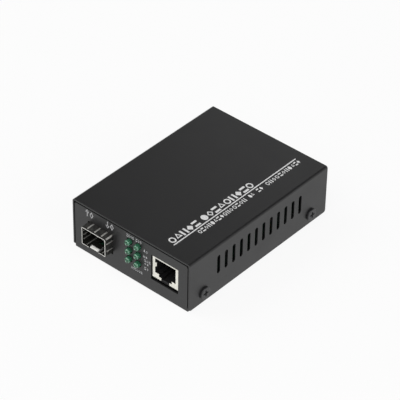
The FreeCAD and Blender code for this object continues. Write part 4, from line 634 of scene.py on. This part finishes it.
# The panel's marks: an arrow up and an arrow down above the bay, each with a diamond, and fine
# rows round the lamps. A negative width and height together turn the wedge round.
panel_surface = Matrix(((1.0, 0.0, 0.0, 0.0), (0.0, 0.0, -1.0, pan_low.y), (0.0, 1.0, 0.0, 0.0),
                        (0.0, 0.0, 0.0, 1.0)))
arrow_middle = 23.7
port_marks = []
for start, way in ((-27.2, 1.0), (-14.8, -1.0)):
    port_marks += [("wedge", start + 1.2, arrow_middle + way * 1.0, way * 2.3, way * 2.0),
                   ("block", start + 1.2, arrow_middle - way * 0.8, 0.42, 2.1),
                   ("diamond", start + 3.8, 23.6, 2.2, 3.6)]
printed("port_printing", port_marks, panel_surface, grey_ink)
lamp_marks = []
for kinds, start, end, middle, height, fill in (
        (["stack", "ring", "diamond", "ring"], -2.3, 2.3, 24.4, 1.5, 0.74),
        (["stack", "diamond", "ring"], 3.2, 6.8, 24.4, 1.5, 0.74),
        (["dart", "diamond"], 7.7, 10.7, 20.9, 1.7, 0.74),
        (["pillars", "dart"], 7.6, 10.4, 17.7, 1.4, 0.74),
        (["stack", "ring", "stack"], 8.3, 12.2, 15.7, 1.2, 0.74),
        (["diamond", "dart"], 8.3, 11.1, 13.9, 1.2, 0.74),
        (["stack", "diamond"], 8.3, 10.9, 11.2, 1.5, 0.74),
        (["pillars", "ring", "stack", "diamond", "ring", "stack"], 0.4, 7.3, 7.4, 1.2, 0.72)):
    lamp_marks += row_of(kinds, start, end, middle, height, fill)
printed("lamp_printing", lamp_marks, panel_surface, grey_ink)
for mark in unit_marks.values():
    bpy.data.objects.remove(mark)

# ---------------------------------------------------------------------------
# Studio
# A pale floor, a white backdrop from the world, three large soft lamps and a
# small one close behind, whose sheen fades along the roof.
# ---------------------------------------------------------------------------
floor_size = 6.0
floor_gap = 0.1 * MM
floor_place = (0.0, 0.0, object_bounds()[0].z - floor_gap)
bpy.ops.mesh.primitive_plane_add(size=floor_size, location=floor_place)
floor = bpy.context.object
floor.name = "floor"
floor.data.transform(floor.matrix_world)
floor.matrix_world = Matrix.Identity(4)
pale_floor, tree, shader = start_material("pale_floor", (0.93, 0.93, 0.93), 0.9)
shader.inputs["Specular IOR Level"].default_value = 0.0


def seen_share(tree, share):
    """Share for rays that come from the camera, a mirror surface or through glass, else nothing."""
    path = tree.nodes.new("ShaderNodeLightPath")
    any_ray = path.outputs["Is Camera Ray"]
    for kind in ("Is Glossy Ray", "Is Transmission Ray"):
        larger = tree.nodes.new("ShaderNodeMath")
        larger.operation = "MAXIMUM"
        tree.links.new(any_ray, larger.inputs[0])
        tree.links.new(path.outputs[kind], larger.inputs[1])
        any_ray = larger.outputs["Value"]
    scaled = tree.nodes.new("ShaderNodeMath")
    scaled.operation = "MULTIPLY"
    scaled.inputs[1].default_value = share
    tree.links.new(any_ray, scaled.inputs[0])
    return scaled.outputs["Value"]


glow = tree.nodes.new("ShaderNodeEmission")
glow.inputs["Color"].default_value = (1.0, 1.0, 1.0, 1.0)
blend = tree.nodes.new("ShaderNodeMixShader")
tree.links.new(seen_share(tree, 0.90), blend.inputs["Fac"])
tree.links.new(shader.outputs["BSDF"], blend.inputs[1])
tree.links.new(glow.outputs["Emission"], blend.inputs[2])
tree.links.new(blend.outputs["Shader"], tree.nodes["Material Output"].inputs["Surface"])
floor.data.materials.append(pale_floor)

world = bpy.data.worlds.new("studio")
bpy.context.scene.world = world
world.use_nodes = True
sky = world.node_tree
sky_light = sky.nodes["Background"]
sky_light.inputs["Strength"].default_value = 1.0
direction = sky.nodes.new("ShaderNodeTexCoord")
parts = sky.nodes.new("ShaderNodeSeparateXYZ")
fade = sky.nodes.new("ShaderNodeValToRGB")
low_sky, high_sky = fade.color_ramp.elements
low_sky.position, low_sky.color = 0.12, (1.0, 1.0, 1.0, 1.0)
high_sky.position, high_sky.color = 0.55, (0.04, 0.04, 0.04, 1.0)
sky.links.new(direction.outputs["Generated"], parts.inputs["Vector"])
sky.links.new(parts.outputs["Z"], fade.inputs["Fac"])
sky.links.new(fade.outputs["Color"], sky_light.inputs["Color"])

lamp_aim = Vector((0.0, 0.0, 0.01))
for name, place, size, power in (("key_lamp", (0.35, -1.3, 1.5), 1.2, 12.0),
                                 ("side_lamp", (1.5, -0.1, 1.1), 1.2, 12.0),
                                 ("fill_lamp", (-1.2, -0.6, 1.4), 1.2, 14.0),
                                 ("rear_lamp", (-0.22, 0.42, 0.28), 0.25, 0.14)):
    bpy.ops.object.light_add(type="AREA", location=place)
    lamp = bpy.context.object
    lamp.name = name
    lamp.data.size = size
    lamp.data.energy = power
    lamp.visible_camera = False
    lamp.rotation_euler = (lamp_aim - Vector(place)).to_track_quat("-Z", "Y").to_euler()

# The camera looks down on the front right corner from about 39 degrees, with a long lens.
camera_place = Vector((0.50877, -0.59402, 0.63857))
camera_aim = Vector((-0.00169, 0.00114, 0.01547))
camera_roll = math.radians(1.021)
camera_lens = 197.97
camera_sensor = 36.0
bpy.ops.object.camera_add(location=camera_place)
camera = bpy.context.object
camera.data.lens = camera_lens
camera.data.sensor_width = camera_sensor
facing = (camera_aim - camera_place).to_track_quat("-Z", "Y").to_matrix()
camera.rotation_euler = (facing @ Matrix.Rotation(camera_roll, 3, "Z")).to_euler()
bpy.context.scene.camera = camera
bpy.context.scene.view_settings.view_transform = "Standard"
